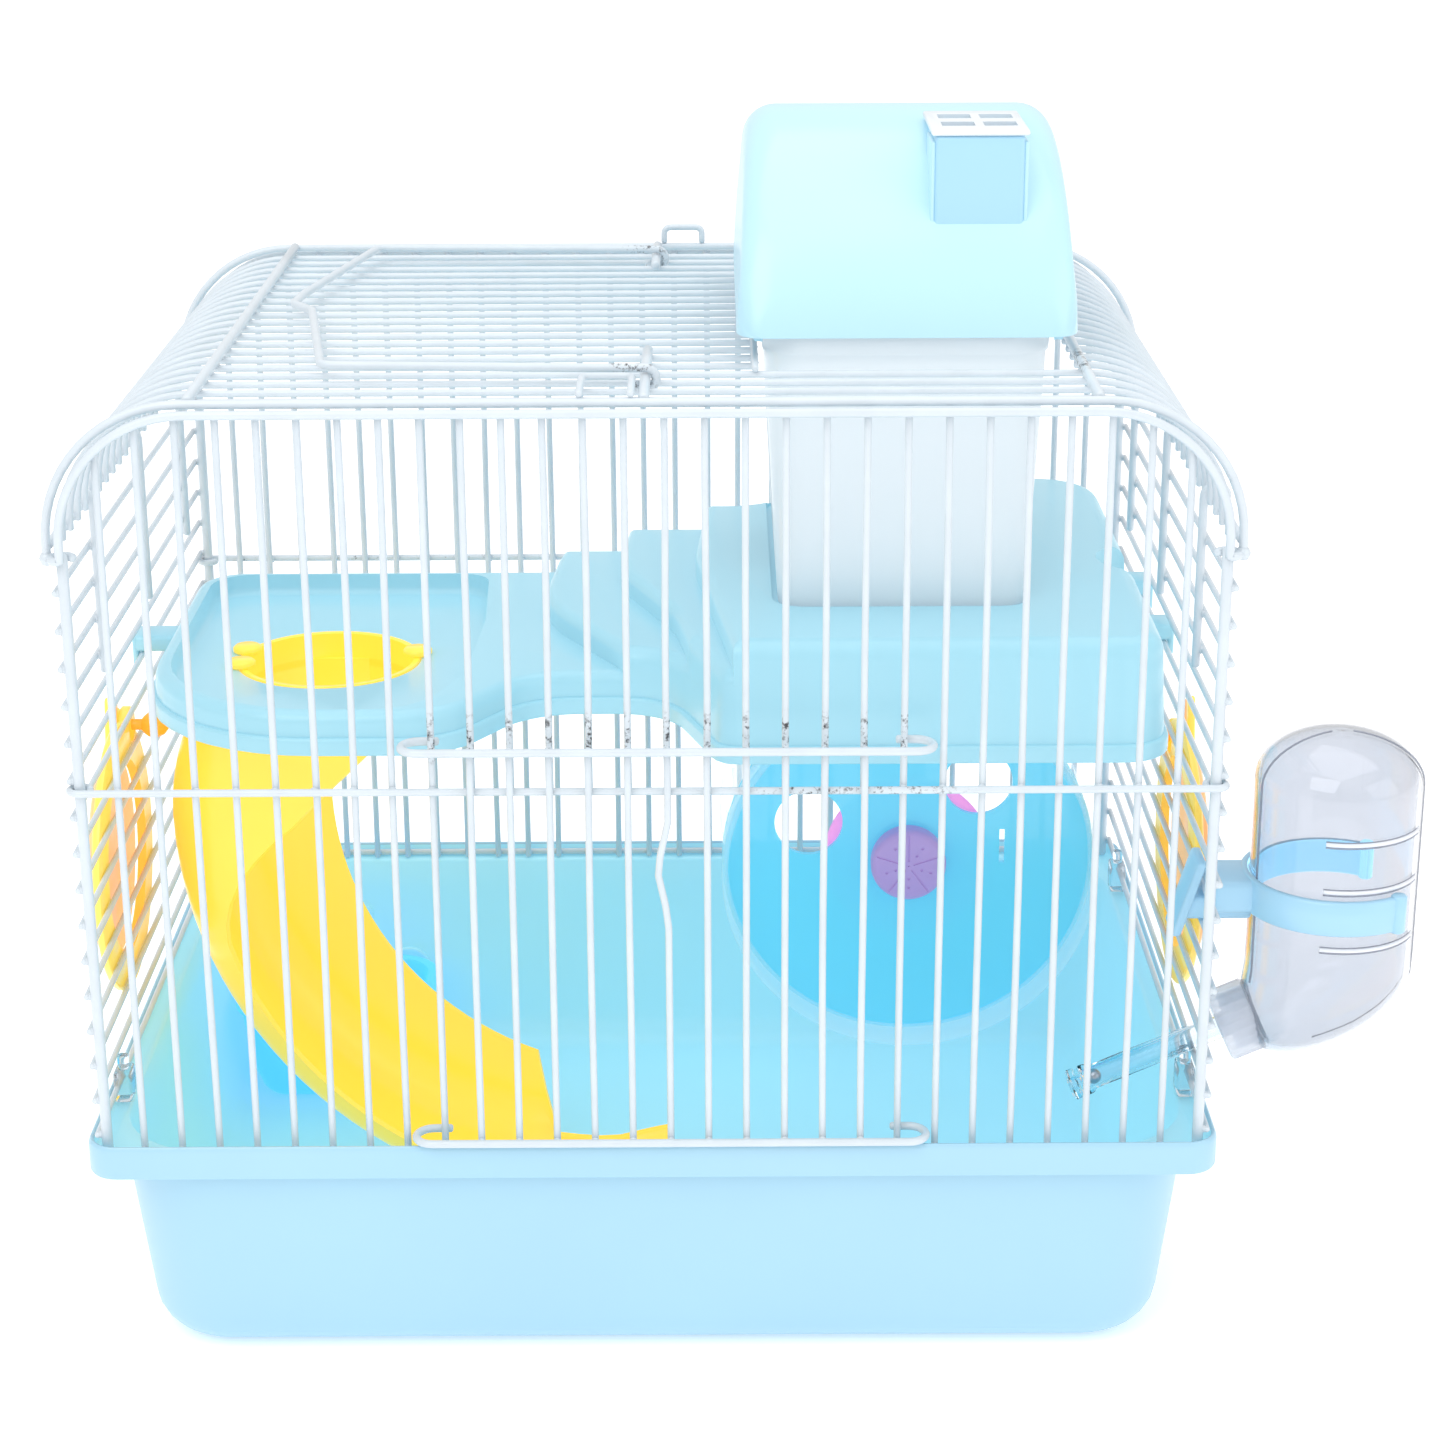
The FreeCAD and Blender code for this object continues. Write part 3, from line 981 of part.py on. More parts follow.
def make_port(name, side):
    """A round ring outside the side wires with a round door; a knob inside the cage turns the door's pin."""
    y, z = "dims.%s_port_y" % name, "dims.%s_port_z" % name
    face = SIDE_X + size("side_radius") + 0.1
    start = face if side > 0 else -face - size("port_thickness")
    pin_y, pin_z = "%s + %s" % (y, PIN_SHIFT), "%s + %s" % (z, PIN_RISE[name])
    plate = cylinder(name + "_ring_plate", "dims.port_radius", "dims.port_thickness", start, y, z, along="X")
    hole = cylinder(name + "_ring_hole", "dims.port_bore", "dims.port_thickness + 2", start - 1, y, z, along="X")
    lug = cylinder(name + "_ring_lug", "5", "dims.port_thickness", start, pin_y, pin_z, along="X")
    seat = cylinder(name + "_ring_seat", "dims.port_pin_radius + 0.06", "dims.port_thickness + 2", start - 1, pin_y,
                    pin_z, along="X")
    drilled = cut(name + "_ring_drilled", plate, hole)
    keep(name + "_port_ring", cut(name + "_port_ring", fuse(name + "_ring_with_lug", drilled, lug), seat))
    door_thickness = size("port_door_thickness")
    door_face = face + size("port_thickness") + PORT_GAP
    door_start = door_face if side > 0 else -door_face - door_thickness
    middle = V(number(y), number(z), 0)
    disc = Part.makeCylinder(size("port_door_radius"), door_thickness, V(door_start, middle.x, middle.y), V(1, 0, 0))
    pin = V(number(pin_y), number(pin_z), 0)
    along = (pin - middle).normalize()
    aside = V(-along.y, along.x, 0)
    arm = [middle + along * 14 - aside * 7, pin + along * 4.4 - aside * 4.4, pin + along * 4.4 + aside * 4.4,
           middle + along * 14 + aside * 7]
    arm_plate = side_plate([(p.x, p.y, 3.0) for p in arm], door_start, door_thickness)
    prongs = []
    for shift in (0.0, 5.4):
        foot, tip = middle + V(5.0 + shift, 19, 0), middle + V(10.6 + shift, 41 - shift * 0.5, 0)
        lean = (tip - foot).normalize()
        across = V(-lean.y, lean.x, 0) * 1.7
        corners = [foot - across, tip - across, tip + across, foot + across]
        prongs.append(side_plate([(p.x, p.y, 1.2) for p in corners], door_start, door_thickness))
    bridge_start = door_start if side > 0 else door_start - 1.2
    hook = [(middle.x + 2, middle.y + 17, 2), (middle.x + 15, middle.y + 17, 2), (middle.x + 15, middle.y + 24, 3),
            (middle.x + 2, middle.y + 24, 3)]
    bridge = side_plate(hook, bridge_start, door_thickness + 1.2)
    bore = Part.makeCylinder(size("port_pin_radius"), 12, V(door_start - 4, pin.x, pin.y), V(1, 0, 0))
    feature(name + "_port_door", disc.fuse([arm_plate, bridge] + prongs).cut(bore).removeSplitter())
    outer_end, inner_end = door_face + door_thickness, SIDE_X - size("side_radius") - 4.2
    shank = Part.makeCylinder(size("port_pin_radius"), outer_end - inner_end, V(side * inner_end, pin.x, pin.y),
                              V(side, 0, 0))
    knob = Part.makeSphere(3.6, V(side * inner_end, pin.x, pin.y))
    feature(name + "_port_pin", shank.fuse(knob))


# ---------------------------------------------------------------------------------------------------
# Build, check and write
# ---------------------------------------------------------------------------------------------------
def build():
    make_tray()
    make_dish()
    make_wire_clips()
    door_bays = range(int(size("door_first")) + 1, int(size("door_last")))
    make_panel("front_wires", -1, door_bays)
    make_panel("back_wires", 1, ())
    make_rails("front_rails", -1)
    make_rails("back_rails", 1)
    make_frame_arch("front_arch", -1)
    make_frame_arch("back_arch", 1)
    make_side_wires("left_side_wires", -1)
    make_side_wires("right_side_wires", 1)
    make_posts()
    make_roof_hooks("left_roof_hooks", -1)
    make_roof_hooks("right_roof_hooks", 1)
    make_roof_wires()
    make_roof_frame()
    make_latches()
    make_handle()
    make_door()
    make_platform()
    make_chute()
    make_wheel()
    make_wheel_mount()
    make_house()
    make_lid()
    make_bottle()
    make_bottle_holder()
    make_port("left", -1)
    make_port("right", 1)
    doc.recompute()


def check():
    """Stop if any object failed or any sub-part's shape is unusable."""
    for thing in doc.Objects:
        if "Invalid" in thing.State or "Error" in thing.State:
            raise RuntimeError("%s failed: %s" % (thing.Label, thing.State))
    for name, thing in nodes.items():
        shape = thing.Shape
        if shape.isNull() or not shape.isValid() or not shape.Solids:
            raise RuntimeError("%s has no valid solid" % name)


def write():
    os.makedirs("parts", exist_ok=True)
    for name, thing in nodes.items():
        thing.Shape.exportStep("parts/%s.step" % name)
        bounds = thing.Shape.BoundBox
        print("%-20s solids %2d volume %9.1f  x %7.1f %7.1f  y %7.1f %7.1f  z %6.1f %6.1f" % (
            name, len(thing.Shape.Solids), thing.Shape.Volume, bounds.XMin, bounds.XMax,
            bounds.YMin, bounds.YMax, bounds.ZMin, bounds.ZMax))


build()
check()
write()
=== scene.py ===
import random
from math import acos, cos, degrees, hypot, pi, radians, sin, sqrt, tan

import bmesh
import bpy
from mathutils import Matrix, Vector


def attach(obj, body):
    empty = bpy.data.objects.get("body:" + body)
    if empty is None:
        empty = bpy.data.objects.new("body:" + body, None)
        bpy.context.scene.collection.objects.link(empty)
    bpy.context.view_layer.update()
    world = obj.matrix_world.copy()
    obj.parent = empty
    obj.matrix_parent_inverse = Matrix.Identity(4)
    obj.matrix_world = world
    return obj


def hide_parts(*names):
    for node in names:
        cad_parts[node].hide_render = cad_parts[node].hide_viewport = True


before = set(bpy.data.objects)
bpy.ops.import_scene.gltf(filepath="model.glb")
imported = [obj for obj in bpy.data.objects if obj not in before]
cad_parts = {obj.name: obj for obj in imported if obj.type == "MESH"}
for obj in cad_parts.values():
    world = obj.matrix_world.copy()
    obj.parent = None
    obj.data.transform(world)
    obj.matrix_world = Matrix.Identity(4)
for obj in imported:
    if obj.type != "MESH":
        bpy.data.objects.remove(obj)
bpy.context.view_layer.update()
random.seed(7)
MM = 0.001
CORNERS = [(x, y) for x in (-1, 1) for y in (-1, 1)]
ALONG_X, ALONG_Y, ALONG_Z = (1, 0, 0), (0, 1, 0), (0, 0, 1)
FORWARD = (0, -1, 0)

# ---- Materials
def linear(red, green, blue):
    """A colour given as screen values from 0 to 255."""
    def one(value):
        value /= 255
        return value / 12.92 if value <= 0.04045 else ((value + 0.055) / 1.055) ** 2.4
    return one(red), one(green), one(blue), 1.0


def new_material(name):
    material = bpy.data.materials.new(name)
    material.use_nodes = True
    nodes = material.node_tree.nodes
    return material, nodes, material.node_tree.links, nodes["Principled BSDF"]


def set_inputs(node, values):
    for name, value in values.items():
        node.inputs[name].default_value = value


def noise_over(nodes, links, where, scale, detail):
    noise = nodes.new("ShaderNodeTexNoise")
    set_inputs(noise, {"Scale": scale, "Detail": detail})
    links.new(where.outputs["Object"], noise.inputs["Vector"])
    return noise


def varied_colour(nodes, links, shader, colour, amount, scale):
    """A very soft mottling, as moulded plastic and dipped wire have."""
    where = nodes.new("ShaderNodeTexCoord")
    noise = noise_over(nodes, links, where, scale, 3)
    ramp = nodes.new("ShaderNodeValToRGB")
    ramp.color_ramp.elements[0].position = 0.3
    ramp.color_ramp.elements[1].position = 0.7
    ramp.color_ramp.elements[0].color = [c * (1 - amount) for c in colour[:3]] + [1]
    ramp.color_ramp.elements[1].color = [min(1, c * (1 + amount)) for c in colour[:3]] + [1]
    links.new(noise.outputs["Fac"], ramp.inputs["Fac"])
    links.new(ramp.outputs["Color"], shader.inputs["Base Color"])
    return where, ramp


def fine_bump(nodes, links, shader, where, scale, strength, distance):
    noise = noise_over(nodes, links, where, scale, 4)
    bump = nodes.new("ShaderNodeBump")
    set_inputs(bump, {"Strength": strength, "Distance": distance})
    links.new(noise.outputs["Fac"], bump.inputs["Height"])
    links.new(bump.outputs["Normal"], shader.inputs["Normal"])


def plastic(name, rgb, roughness=0.32, alpha=1, amount=0.03, coat=0.2, painted_glow=0):
    """Moulded plastic: soft mottling, a faint skin and a thin gloss. The last argument is a painted glow:
    emission in the plastic's own colour, which lights the part up though it is no lamp.
    """
    material, nodes, links, shader = new_material(name)
    colour = linear(*rgb)
    where, ramp = varied_colour(nodes, links, shader, colour, amount, 18)
    fine_bump(nodes, links, shader, where, 900, 0.12, 0.00006)
    set_inputs(shader, {"Roughness": roughness, "Coat Weight": coat, "Coat Roughness": 0.15, "Alpha": alpha})
    if painted_glow:
        # painted light: the plastic glows in its own colour
        set_inputs(shader, {"Emission Color": colour, "Emission Strength": painted_glow})
    return material


def clear(name, rgb, roughness=0.04, ior=1.2):
    """Clear plastic that bends the light only a little, as a thin wall does."""
    material, nodes, links, shader = new_material(name)
    where = nodes.new("ShaderNodeTexCoord")
    fine_bump(nodes, links, shader, where, 60, 0.05, 0.0004)
    set_inputs(shader, {"Base Color": linear(*rgb), "Roughness": roughness, "IOR": ior,
                        "Transmission Weight": 1})
    return material


def math_node(nodes, links, operation, first, second=None):
    """A Math node whose second input is a number, a socket or unused."""
    node = nodes.new("ShaderNodeMath")
    node.operation = operation
    links.new(first, node.inputs[0])
    if isinstance(second, (int, float)):
        node.inputs[1].default_value = second
    elif second:
        links.new(second, node.inputs[1])
    return node.outputs[0]


def map_node(nodes, links, value, low, high):
    node = nodes.new("ShaderNodeMapRange")
    set_inputs(node, {"From Min": low, "From Max": high})
    links.new(value, node.inputs["Value"])
    return node.outputs["Result"]


def coated_wire(name, axis=None, low=0, high=0, cover=0.5):
    """White dip-coated wire. Between low and high along an axis, in metres, the coating is scorched."""
    material, nodes, links, shader = new_material(name)
    where, ramp = varied_colour(nodes, links, shader, linear(208, 217, 224), 0.03, 120)
    fine_bump(nodes, links, shader, where, 1400, 0.25, 0.00008)
    shader.inputs["Roughness"].default_value = 0.3
    shader.inputs["Coat Weight"].default_value = 0.3
    shader.inputs["Coat Roughness"].default_value = 0.2
    if axis is None:
        return material
    split = nodes.new("ShaderNodeSeparateXYZ")
    links.new(where.outputs["Object"], split.inputs["Vector"])
    middle, half = (low + high) / 2, (high - low) / 2
    offset = math_node(nodes, links, "SUBTRACT", split.outputs[axis], middle)
    distance = math_node(nodes, links, "ABSOLUTE", offset)
    band = map_node(nodes, links, distance, half, half * 0.5)
    specks = noise_over(nodes, links, where, 650, 5)
    specks.inputs["Roughness"].default_value = 0.7
    edge = map_node(nodes, links, specks.outputs["Fac"], 1 - cover - 0.06, 1 - cover + 0.06)
    both = math_node(nodes, links, "MULTIPLY", band, edge)
    mix = nodes.new("ShaderNodeMix")
    mix.data_type = "RGBA"
    links.new(both, mix.inputs["Factor"])
    links.new(ramp.outputs["Color"], mix.inputs["A"])
    mix.inputs["B"].default_value = (0.035, 0.035, 0.04, 1)
    links.new(mix.outputs["Result"], shader.inputs["Base Color"])
    return material


def metal(name, rgb, roughness):
    material, nodes, links, shader = new_material(name)
    where, ramp = varied_colour(nodes, links, shader, linear(*rgb), 0.05, 90)
    fine_bump(nodes, links, shader, where, 1200, 0.2, 0.00004)
    set_inputs(shader, {"Metallic": 1, "Roughness": roughness})
    return material


# Most plastics below carry a painted glow as their last number. It is painted light that brightens them where the
# lamps leave them in shade.
TRAY = plastic("tray_plastic", (156, 196, 216), 0.36, amount=0.015, painted_glow=0.14)
# The tray's inside is rougher and less coated, as its scuffed floor is. It also glows three times as strongly as
# the outside: painted light on the shaded interior.
TRAY_INSIDE_MATTE_GLOW = plastic("tray_inside_matte_glow_plastic", (152, 207, 222), 0.42, amount=0.02, coat=0.1, painted_glow=0.42)
DECK = plastic("deck_plastic", (150, 199, 214), 0.3, amount=0.015, painted_glow=0.26)
DISH = plastic("dish_plastic", (90, 195, 245), 0.3, painted_glow=0.5)
YELLOW = plastic("slide_plastic", (252, 209, 70), 0.28, amount=0.02, painted_glow=0.42)
WHEEL_BLUE = plastic("wheel_plastic", (104, 202, 228), 0.18, alpha=0.84, amount=0.02, painted_glow=0.36)
WHEEL_CLEAR = plastic("drum_plastic", (206, 236, 250), 0.08, alpha=0.26, amount=0.01, coat=0.5, painted_glow=0.2)
PINK = plastic("hub_plastic", (240, 150, 215), 0.3, painted_glow=0.4)
PURPLE = plastic("cap_plastic", (176, 146, 204), 0.35, painted_glow=0.25)
HOUSE = plastic("house_plastic", (205, 213, 218), 0.3, amount=0.008, painted_glow=0.22)
LID = plastic("lid_plastic", (176, 215, 229), 0.3, amount=0.01, painted_glow=0.14)
CHIMNEY = plastic("chimney_plastic", (160, 204, 228), 0.35, amount=0.01, painted_glow=0.1)
VENT = plastic("vent_plastic", (228, 234, 238), 0.35, amount=0.01)
HOLDER = plastic("holder_plastic", (150, 192, 216), 0.3, painted_glow=0.24)
# Painted light: the strap's rear inner face behind the bottle glows strongly, where the glass bottle casts shade.
HOLDER_REAR_GLOW = plastic("holder_rear_glow_plastic", (150, 208, 234), 0.3, painted_glow=1.7)
ORANGE = plastic("port_door_plastic", (252, 190, 134), 0.35, painted_glow=0.3)
RING = plastic("port_ring_plastic", (255, 216, 96), 0.35, painted_glow=0.3)
AMBER = plastic("knob_plastic", (250, 184, 66), 0.3, painted_glow=0.25)
BOTTLE = clear("bottle_plastic", (221, 224, 230), 0.03, 1.42)
# Dark lines: the bottle's real mould seams, and painted shade along the edges of the ribs.
SEAM_AND_RIB_SHADE = plastic("bottle_seam_and_rib_shade_plastic", (150, 156, 172), 0.25, alpha=0.62, amount=0.05)
# Pale glowing rib lines: a painted highlight on the raised ribs.
RIB_HIGHLIGHT = plastic("bottle_rib_highlight_plastic", (232, 234, 240), 0.2, alpha=0.7, amount=0.02, painted_glow=0.2)
TUBE = clear("spout_plastic", (240, 246, 250), 0.06, 1.35)
CAP_CLEAR = plastic("screw_cap_plastic", (206, 213, 226), 0.2, alpha=0.55, painted_glow=0.12)
CLIP = clear("clip_plastic", (240, 246, 250), 0.15, 1.3)
SEAL = plastic("seal_rubber", (225, 228, 230), 0.6, coat=0)
STEEL = metal("steel", (190, 192, 198), 0.3)
WIRE = coated_wire("wire_coating")
WIRE_DOOR_BAND = coated_wire("wire_scorched_above_door", "Z", 0.1655, 0.1795, 0.43)
WIRE_RAIL = coated_wire("rail_scorched", "X", 0.020, 0.080, 0.42)
WIRE_EYES = coated_wire("eyes_scorched", "Z", 0.150, 0.168, 0.33)
WIRE_PIVOT = coated_wire("pivot_scorched", "X", -0.010, 0.004, 0.42)

# ---- Mesh helpers. Coordinates are in millimetres in the part's frame until a mesh is made.
def make_object(name, verts, faces, material, smooth=40):
    mesh = bpy.data.meshes.new(name)
    mesh.from_pydata([tuple(c * MM for c in v) for v in verts], [], faces)
    mesh.validate()
    fix_normals(mesh)
    shade(mesh, smooth)
    thing = bpy.data.objects.new(name, mesh)
    bpy.context.scene.collection.objects.link(thing)
    if material:
        mesh.materials.append(material)
    return thing


def fix_normals(mesh):
    work = bmesh.new()
    work.from_mesh(mesh)
    bmesh.ops.recalc_face_normals(work, faces=work.faces)
    work.to_mesh(mesh)
    work.free()


def shade(mesh, angle):
    mesh.polygons.foreach_set("use_smooth", [True] * len(mesh.polygons))
    mesh.set_sharp_from_angle(angle=radians(angle))


def bake(thing, smooth=40):
    """Apply the modifiers of an object to its mesh."""
    graph = bpy.context.evaluated_depsgraph_get()
    mesh = bpy.data.meshes.new_from_object(thing.evaluated_get(graph))
    thing.modifiers.clear()
    thing.data = mesh
    shade(mesh, smooth)
    return thing


def boolean(thing, operation, *tools):
    for tool in tools:
        step = thing.modifiers.new("bool", "BOOLEAN")
        step.operation = operation
        step.solver = "EXACT"
        step.object = tool
        bake(thing)
        bpy.data.objects.remove(tool)
    return thing


def bevel(thing, width, segments=3, angle=35):
    step = thing.modifiers.new("round", "BEVEL")
    step.width = width * MM
    step.segments = segments
    step.limit_method = "ANGLE"
    step.angle_limit = radians(angle)
    step.miter_outer = "MITER_ARC"
    return bake(thing, 50)


def join(name, things):
    """One object from several."""
    work = bmesh.new()
    materials = []
    for thing in things:
        start = len(work.faces)
        work.from_mesh(thing.data)
        work.faces.ensure_lookup_table()
        slots = []
        for material in thing.data.materials:
            if material not in materials:
                materials.append(material)
            slots.append(materials.index(material))
        for face in work.faces[start:]:
            face.material_index = slots[face.material_index] if slots else 0
    mesh = bpy.data.meshes.new(name)
    work.to_mesh(mesh)
    work.free()
    for material in materials:
        mesh.materials.append(material)
    result = bpy.data.objects.new(name, mesh)
    bpy.context.scene.collection.objects.link(result)
    for thing in things:
        bpy.data.objects.remove(thing)
    shade(mesh, 50)
    return result


def finish_piece(thing, body, slot, *replaced):
    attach(thing, body)
    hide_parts(*replaced)


def ring_loft(name, rings, material, closed=False, cap=True, smooth=40):
    """Skin a list of rings with equal counts."""
    count = len(rings[0])
    verts = [p for ring in rings for p in ring]
    faces = []
    spans = len(rings) if closed else len(rings) - 1
    for i in range(spans):
        a, b = i * count, ((i + 1) % len(rings)) * count
        for j in range(count):
            k = (j + 1) % count
            faces.append((a + j, a + k, b + k, b + j))
    if cap and not closed:
        faces.append(tuple(range(count)))
        faces.append(tuple(reversed(range((len(rings) - 1) * count, len(rings) * count))))
    return make_object(name, verts, faces, material, smooth)


def rounded_rectangle(half_w, half_d, radius, z, cx=0, cy=0, steps=8, runs=4):
    radius = max(0.05, min(radius, half_w - 0.05, half_d - 0.05))
    points = []
    for quarter, (sx, sy) in enumerate(((1, -1), (1, 1), (-1, 1), (-1, -1))):
        mx, my = cx + sx * (half_w - radius), cy + sy * (half_d - radius)
        start = -90 + 90 * quarter
        for step in range(steps + 1):
            turn = radians(start + 90 * step / steps)
            points.append((mx + radius * cos(turn), my + radius * sin(turn), z))
        sx2, sy2 = ((1, 1), (-1, 1), (-1, -1), (1, -1))[quarter]
        turn = radians(start + 90)
        last = points[-1]
        following = (cx + sx2 * (half_w - radius) + radius * cos(turn),
                     cy + sy2 * (half_d - radius) + radius * sin(turn), z)
        for run in range(1, runs):
            share = run / runs
            points.append(tuple(a + (b - a) * share for a, b in zip(last, following)))
    return points


def rounded_outline(corners, steps=10, spacing=2.4):
    """Points along a closed polygon whose corners are (x, y, radius)."""
    points = []
    count = len(corners)
    for index in range(count):
        before, here, after = (Vector(corners[(index + s) % count][:2]) for s in (-1, 0, 1))
        radius = corners[index][2]
        incoming, outgoing = (before - here).normalized(), (after - here).normalized()
        half = incoming.angle(outgoing) / 2
        centre = here + (incoming + outgoing).normalized() * (radius / sin(half))
        first = here + incoming * (radius / tan(half)) - centre
        last = here + outgoing * (radius / tan(half)) - centre
        sweep = first.angle_signed(last)
        for step in range(steps + 1):
            angle = -sweep * step / steps
            turned = Vector((first.x * cos(angle) - first.y * sin(angle),
                             first.x * sin(angle) + first.y * cos(angle)))
            points.append(centre + turned)
    return resample(points, spacing)


def resample(points, spacing):
    """Equal steps along a closed line."""
    lengths = [(points[(i + 1) % len(points)] - p).length for i, p in enumerate(points)]
    total = sum(lengths)
    count = int(total / spacing)
    result, index, walked = [], 0, 0.0
    for step in range(count):
        target = total * step / count
        while walked + lengths[index] < target:
            walked += lengths[index]
            index += 1
        share = (target - walked) / max(lengths[index], 1e-9)
        result.append(points[index].lerp(points[(index + 1) % len(points)], share))
    return result


def inset(points, distance):
    """The closed outline moved inwards along its normals."""
    count = len(points)
    area = sum(points[i].x * points[(i + 1) % count].y - points[(i + 1) % count].x * points[i].y
               for i in range(count))
    sign = 1 if area > 0 else -1
    moved = []
    for i in range(count):
        along = (points[(i + 1) % count] - points[i - 1]).normalized()
        moved.append(points[i] + Vector((-along.y, along.x)) * distance * sign)
    return moved


def quarter(steps, first=0):
    """Equal steps through a quarter of a turn."""
    return [radians(90 * step / steps) for step in range(first, steps + 1)]


def filleted_prism(name, outline, low, high, radius, material, shrink=0, draft=0, foot=0):
    """A prism on an outline with a rounded top edge; foot rounds the lower edge too."""
    rings = []
    if foot:
        for turn in quarter(4):
            rings.append((shrink + foot * (1 - sin(turn)), low + foot * (1 - cos(turn))))
    else:
        rings.append((shrink, low))
    for share in (0.35, 0.7, 1):
        rings.append((shrink + draft * share, low + foot + (high - radius - low - foot) * share))
    for turn in quarter(6, 1):
        rings.append((shrink + draft + radius * (1 - cos(turn)), high - radius + radius * sin(turn)))
    made = [[(p.x, p.y, z) for p in inset(outline, amount)] for amount, z in rings]
    return ring_loft(name, made, material)


def turned_ring(origin, axis, along, radii):
    """A ring of points about an axis, one for every radius in a list."""
    turn = Vector(ALONG_Z).rotation_difference(Vector(axis).normalized())
    ring = []
    for k, radius in enumerate(radii):
        angle = 2 * pi * k / len(radii)
        local = Vector((radius * cos(angle), radius * sin(angle), along))
        ring.append(tuple(Vector(origin) + turn @ local))
    return ring


def lathe(name, profile, origin, axis, material, count=48, closed=False, smooth=35):
    """Turn a profile of (distance along the axis, radius) about an axis."""
    rings = [turned_ring(origin, axis, along, [radius] * count) for along, radius in profile]
    return ring_loft(name, rings, material, closed=closed, smooth=smooth)


def box_mesh(name, low, high, material, round_by=0.6):
    (x0, y0, z0), (x1, y1, z1) = low, high
    verts = [(x0, y0, z0), (x1, y0, z0), (x1, y1, z0), (x0, y1, z0),
             (x0, y0, z1), (x1, y0, z1), (x1, y1, z1), (x0, y1, z1)]
    faces = [(0, 3, 2, 1), (4, 5, 6, 7), (0, 1, 5, 4), (1, 2, 6, 5), (2, 3, 7, 6), (3, 0, 4, 7)]
    thing = make_object(name, verts, faces, material)
    return bevel(thing, round_by) if round_by else thing


# ---- Wire work
class Wires:
    """Collects round wires and weld beads, and makes one mesh of them."""

    TIP = ((0, 0.5), (0.15, 0.8), (0.5, 1))     # a wire's rounded end: distance in and radius, in radii

    def __init__(self, sides=12):
        self.verts, self.faces, self.sides, self.materials = [], [], sides, []

    def ring(self, centre, normal, across, radius):
        start = len(self.verts)
        other = normal.cross(across)
        for k in range(self.sides):
            turn = 2 * pi * k / self.sides
            self.verts.append(centre + (across * cos(turn) + other * sin(turn)) * radius)
        return start

    def add(self, points, radius, material=0):
        points = [Vector(p) for p in points]
        points = [p for i, p in enumerate(points) if i == 0 or (p - points[i - 1]).length > 1e-4]
        tangents = []
        for i in range(len(points)):
            ahead = points[min(i + 1, len(points) - 1)] - points[max(i - 1, 0)]
            tangents.append(ahead.normalized())
        across = tangents[0].orthogonal().normalized()
        first, last = tangents[0], tangents[-1]
        stations = [(points[0] + first * radius * back, first, radius * share) for back, share in self.TIP]
        stations += [(p, t, radius) for p, t in zip(points[1:-1], tangents[1:-1])]
        stations += [(points[-1] - last * radius * back, last, radius * share)
                     for back, share in self.TIP[::-1]]
        starts = []
        previous = first
        for centre, tangent, r in stations:
            across = previous.rotation_difference(tangent) @ across
            across = (across - tangent * across.dot(tangent)).normalized()
            previous = tangent
            starts.append(self.ring(centre, tangent, across, r))
        n = self.sides
        for a, b in zip(starts, starts[1:]):
            for k in range(n):
                self.faces.append((a + k, a + (k + 1) % n, b + (k + 1) % n, b + k))
                self.materials.append(material)
        self.faces.append(tuple(reversed(range(starts[0], starts[0] + n))))
        self.faces.append(tuple(range(starts[-1], starts[-1] + n)))
        self.materials += [material, material]

    def bead(self, centre, size, material=0):
        """A small flattened weld nugget."""
        centre = Vector(centre)
        rows, n = 4, 8
        start = len(self.verts)
        for i in range(1, rows):
            polar = pi * i / rows
            for k in range(n):
                turn = 2 * pi * k / n
                offset = Vector((sin(polar) * cos(turn) * size[0],
                                 sin(polar) * sin(turn) * size[1], cos(polar) * size[2]))
                self.verts.append(centre + offset)
        top = len(self.verts)
        self.verts.append(centre + Vector((0, 0, size[2])))
        self.verts.append(centre - Vector((0, 0, size[2])))
        for i in range(rows - 2):
            for k in range(n):
                a, b = start + i * n + k, start + i * n + (k + 1) % n
                self.faces.append((a, a + n, b + n, b))
                self.materials.append(material)
        for k in range(n):
            self.faces.append((top, start + k, start + (k + 1) % n))
            low = start + (rows - 2) * n
            self.faces.append((top + 1, low + (k + 1) % n, low + k))
            self.materials += [material, material]

    def make(self, name, materials, body, replaced, slot="white_wire"):
        thing = make_object(name, self.verts, self.faces, None, 60)
        for material in materials:
            thing.data.materials.append(material)
        thing.data.polygons.foreach_set("material_index", self.materials[:len(thing.data.polygons)])
        finish_piece(thing, body, slot, *replaced)


def arc(centre, radius, u, v, start, end, steps=12):
    centre, u, v = Vector(centre), Vector(u), Vector(v)
    points = []
    for step in range(steps + 1):
        turn = radians(start + (end - start) * step / steps)
        points.append(centre + u * (radius * cos(turn)) + v * (radius * sin(turn)))
    return points


def bent(points, radius, steps=7):
    """A polyline whose corners are rounded."""
    points = [Vector(p) for p in points]
    result = [points[0]]
    for before, here, after in zip(points, points[1:], points[2:]):
        incoming, outgoing = (before - here).normalized(), (after - here).normalized()
        half = incoming.angle(outgoing) / 2
        reach = min(radius / tan(half), (before - here).length * 0.45, (after - here).length * 0.45)
        first, last = here + incoming * reach, here + outgoing * reach
        for step in range(steps + 1):
            t = step / steps
            result.append(first * (1 - t) ** 2 + here * (2 * t * (1 - t)) + last * t * t)
    return result + [points[-1]]


def sagged(start, end, amount, parts=8):
    """A straight wire with a slight, random lack of straightness."""
    start, end = Vector(start), Vector(end)
    sway = Vector((random.uniform(-1, 1), random.uniform(-0.3, 0.3), random.uniform(-0.3, 0.3))) * amount
    phase = random.uniform(0, pi)
    points = []
    for step in range(parts + 1):
        share = step / parts
        points.append(start.lerp(end, share) + sway * sin(pi * share) * sin(2 * share + phase))
    return points


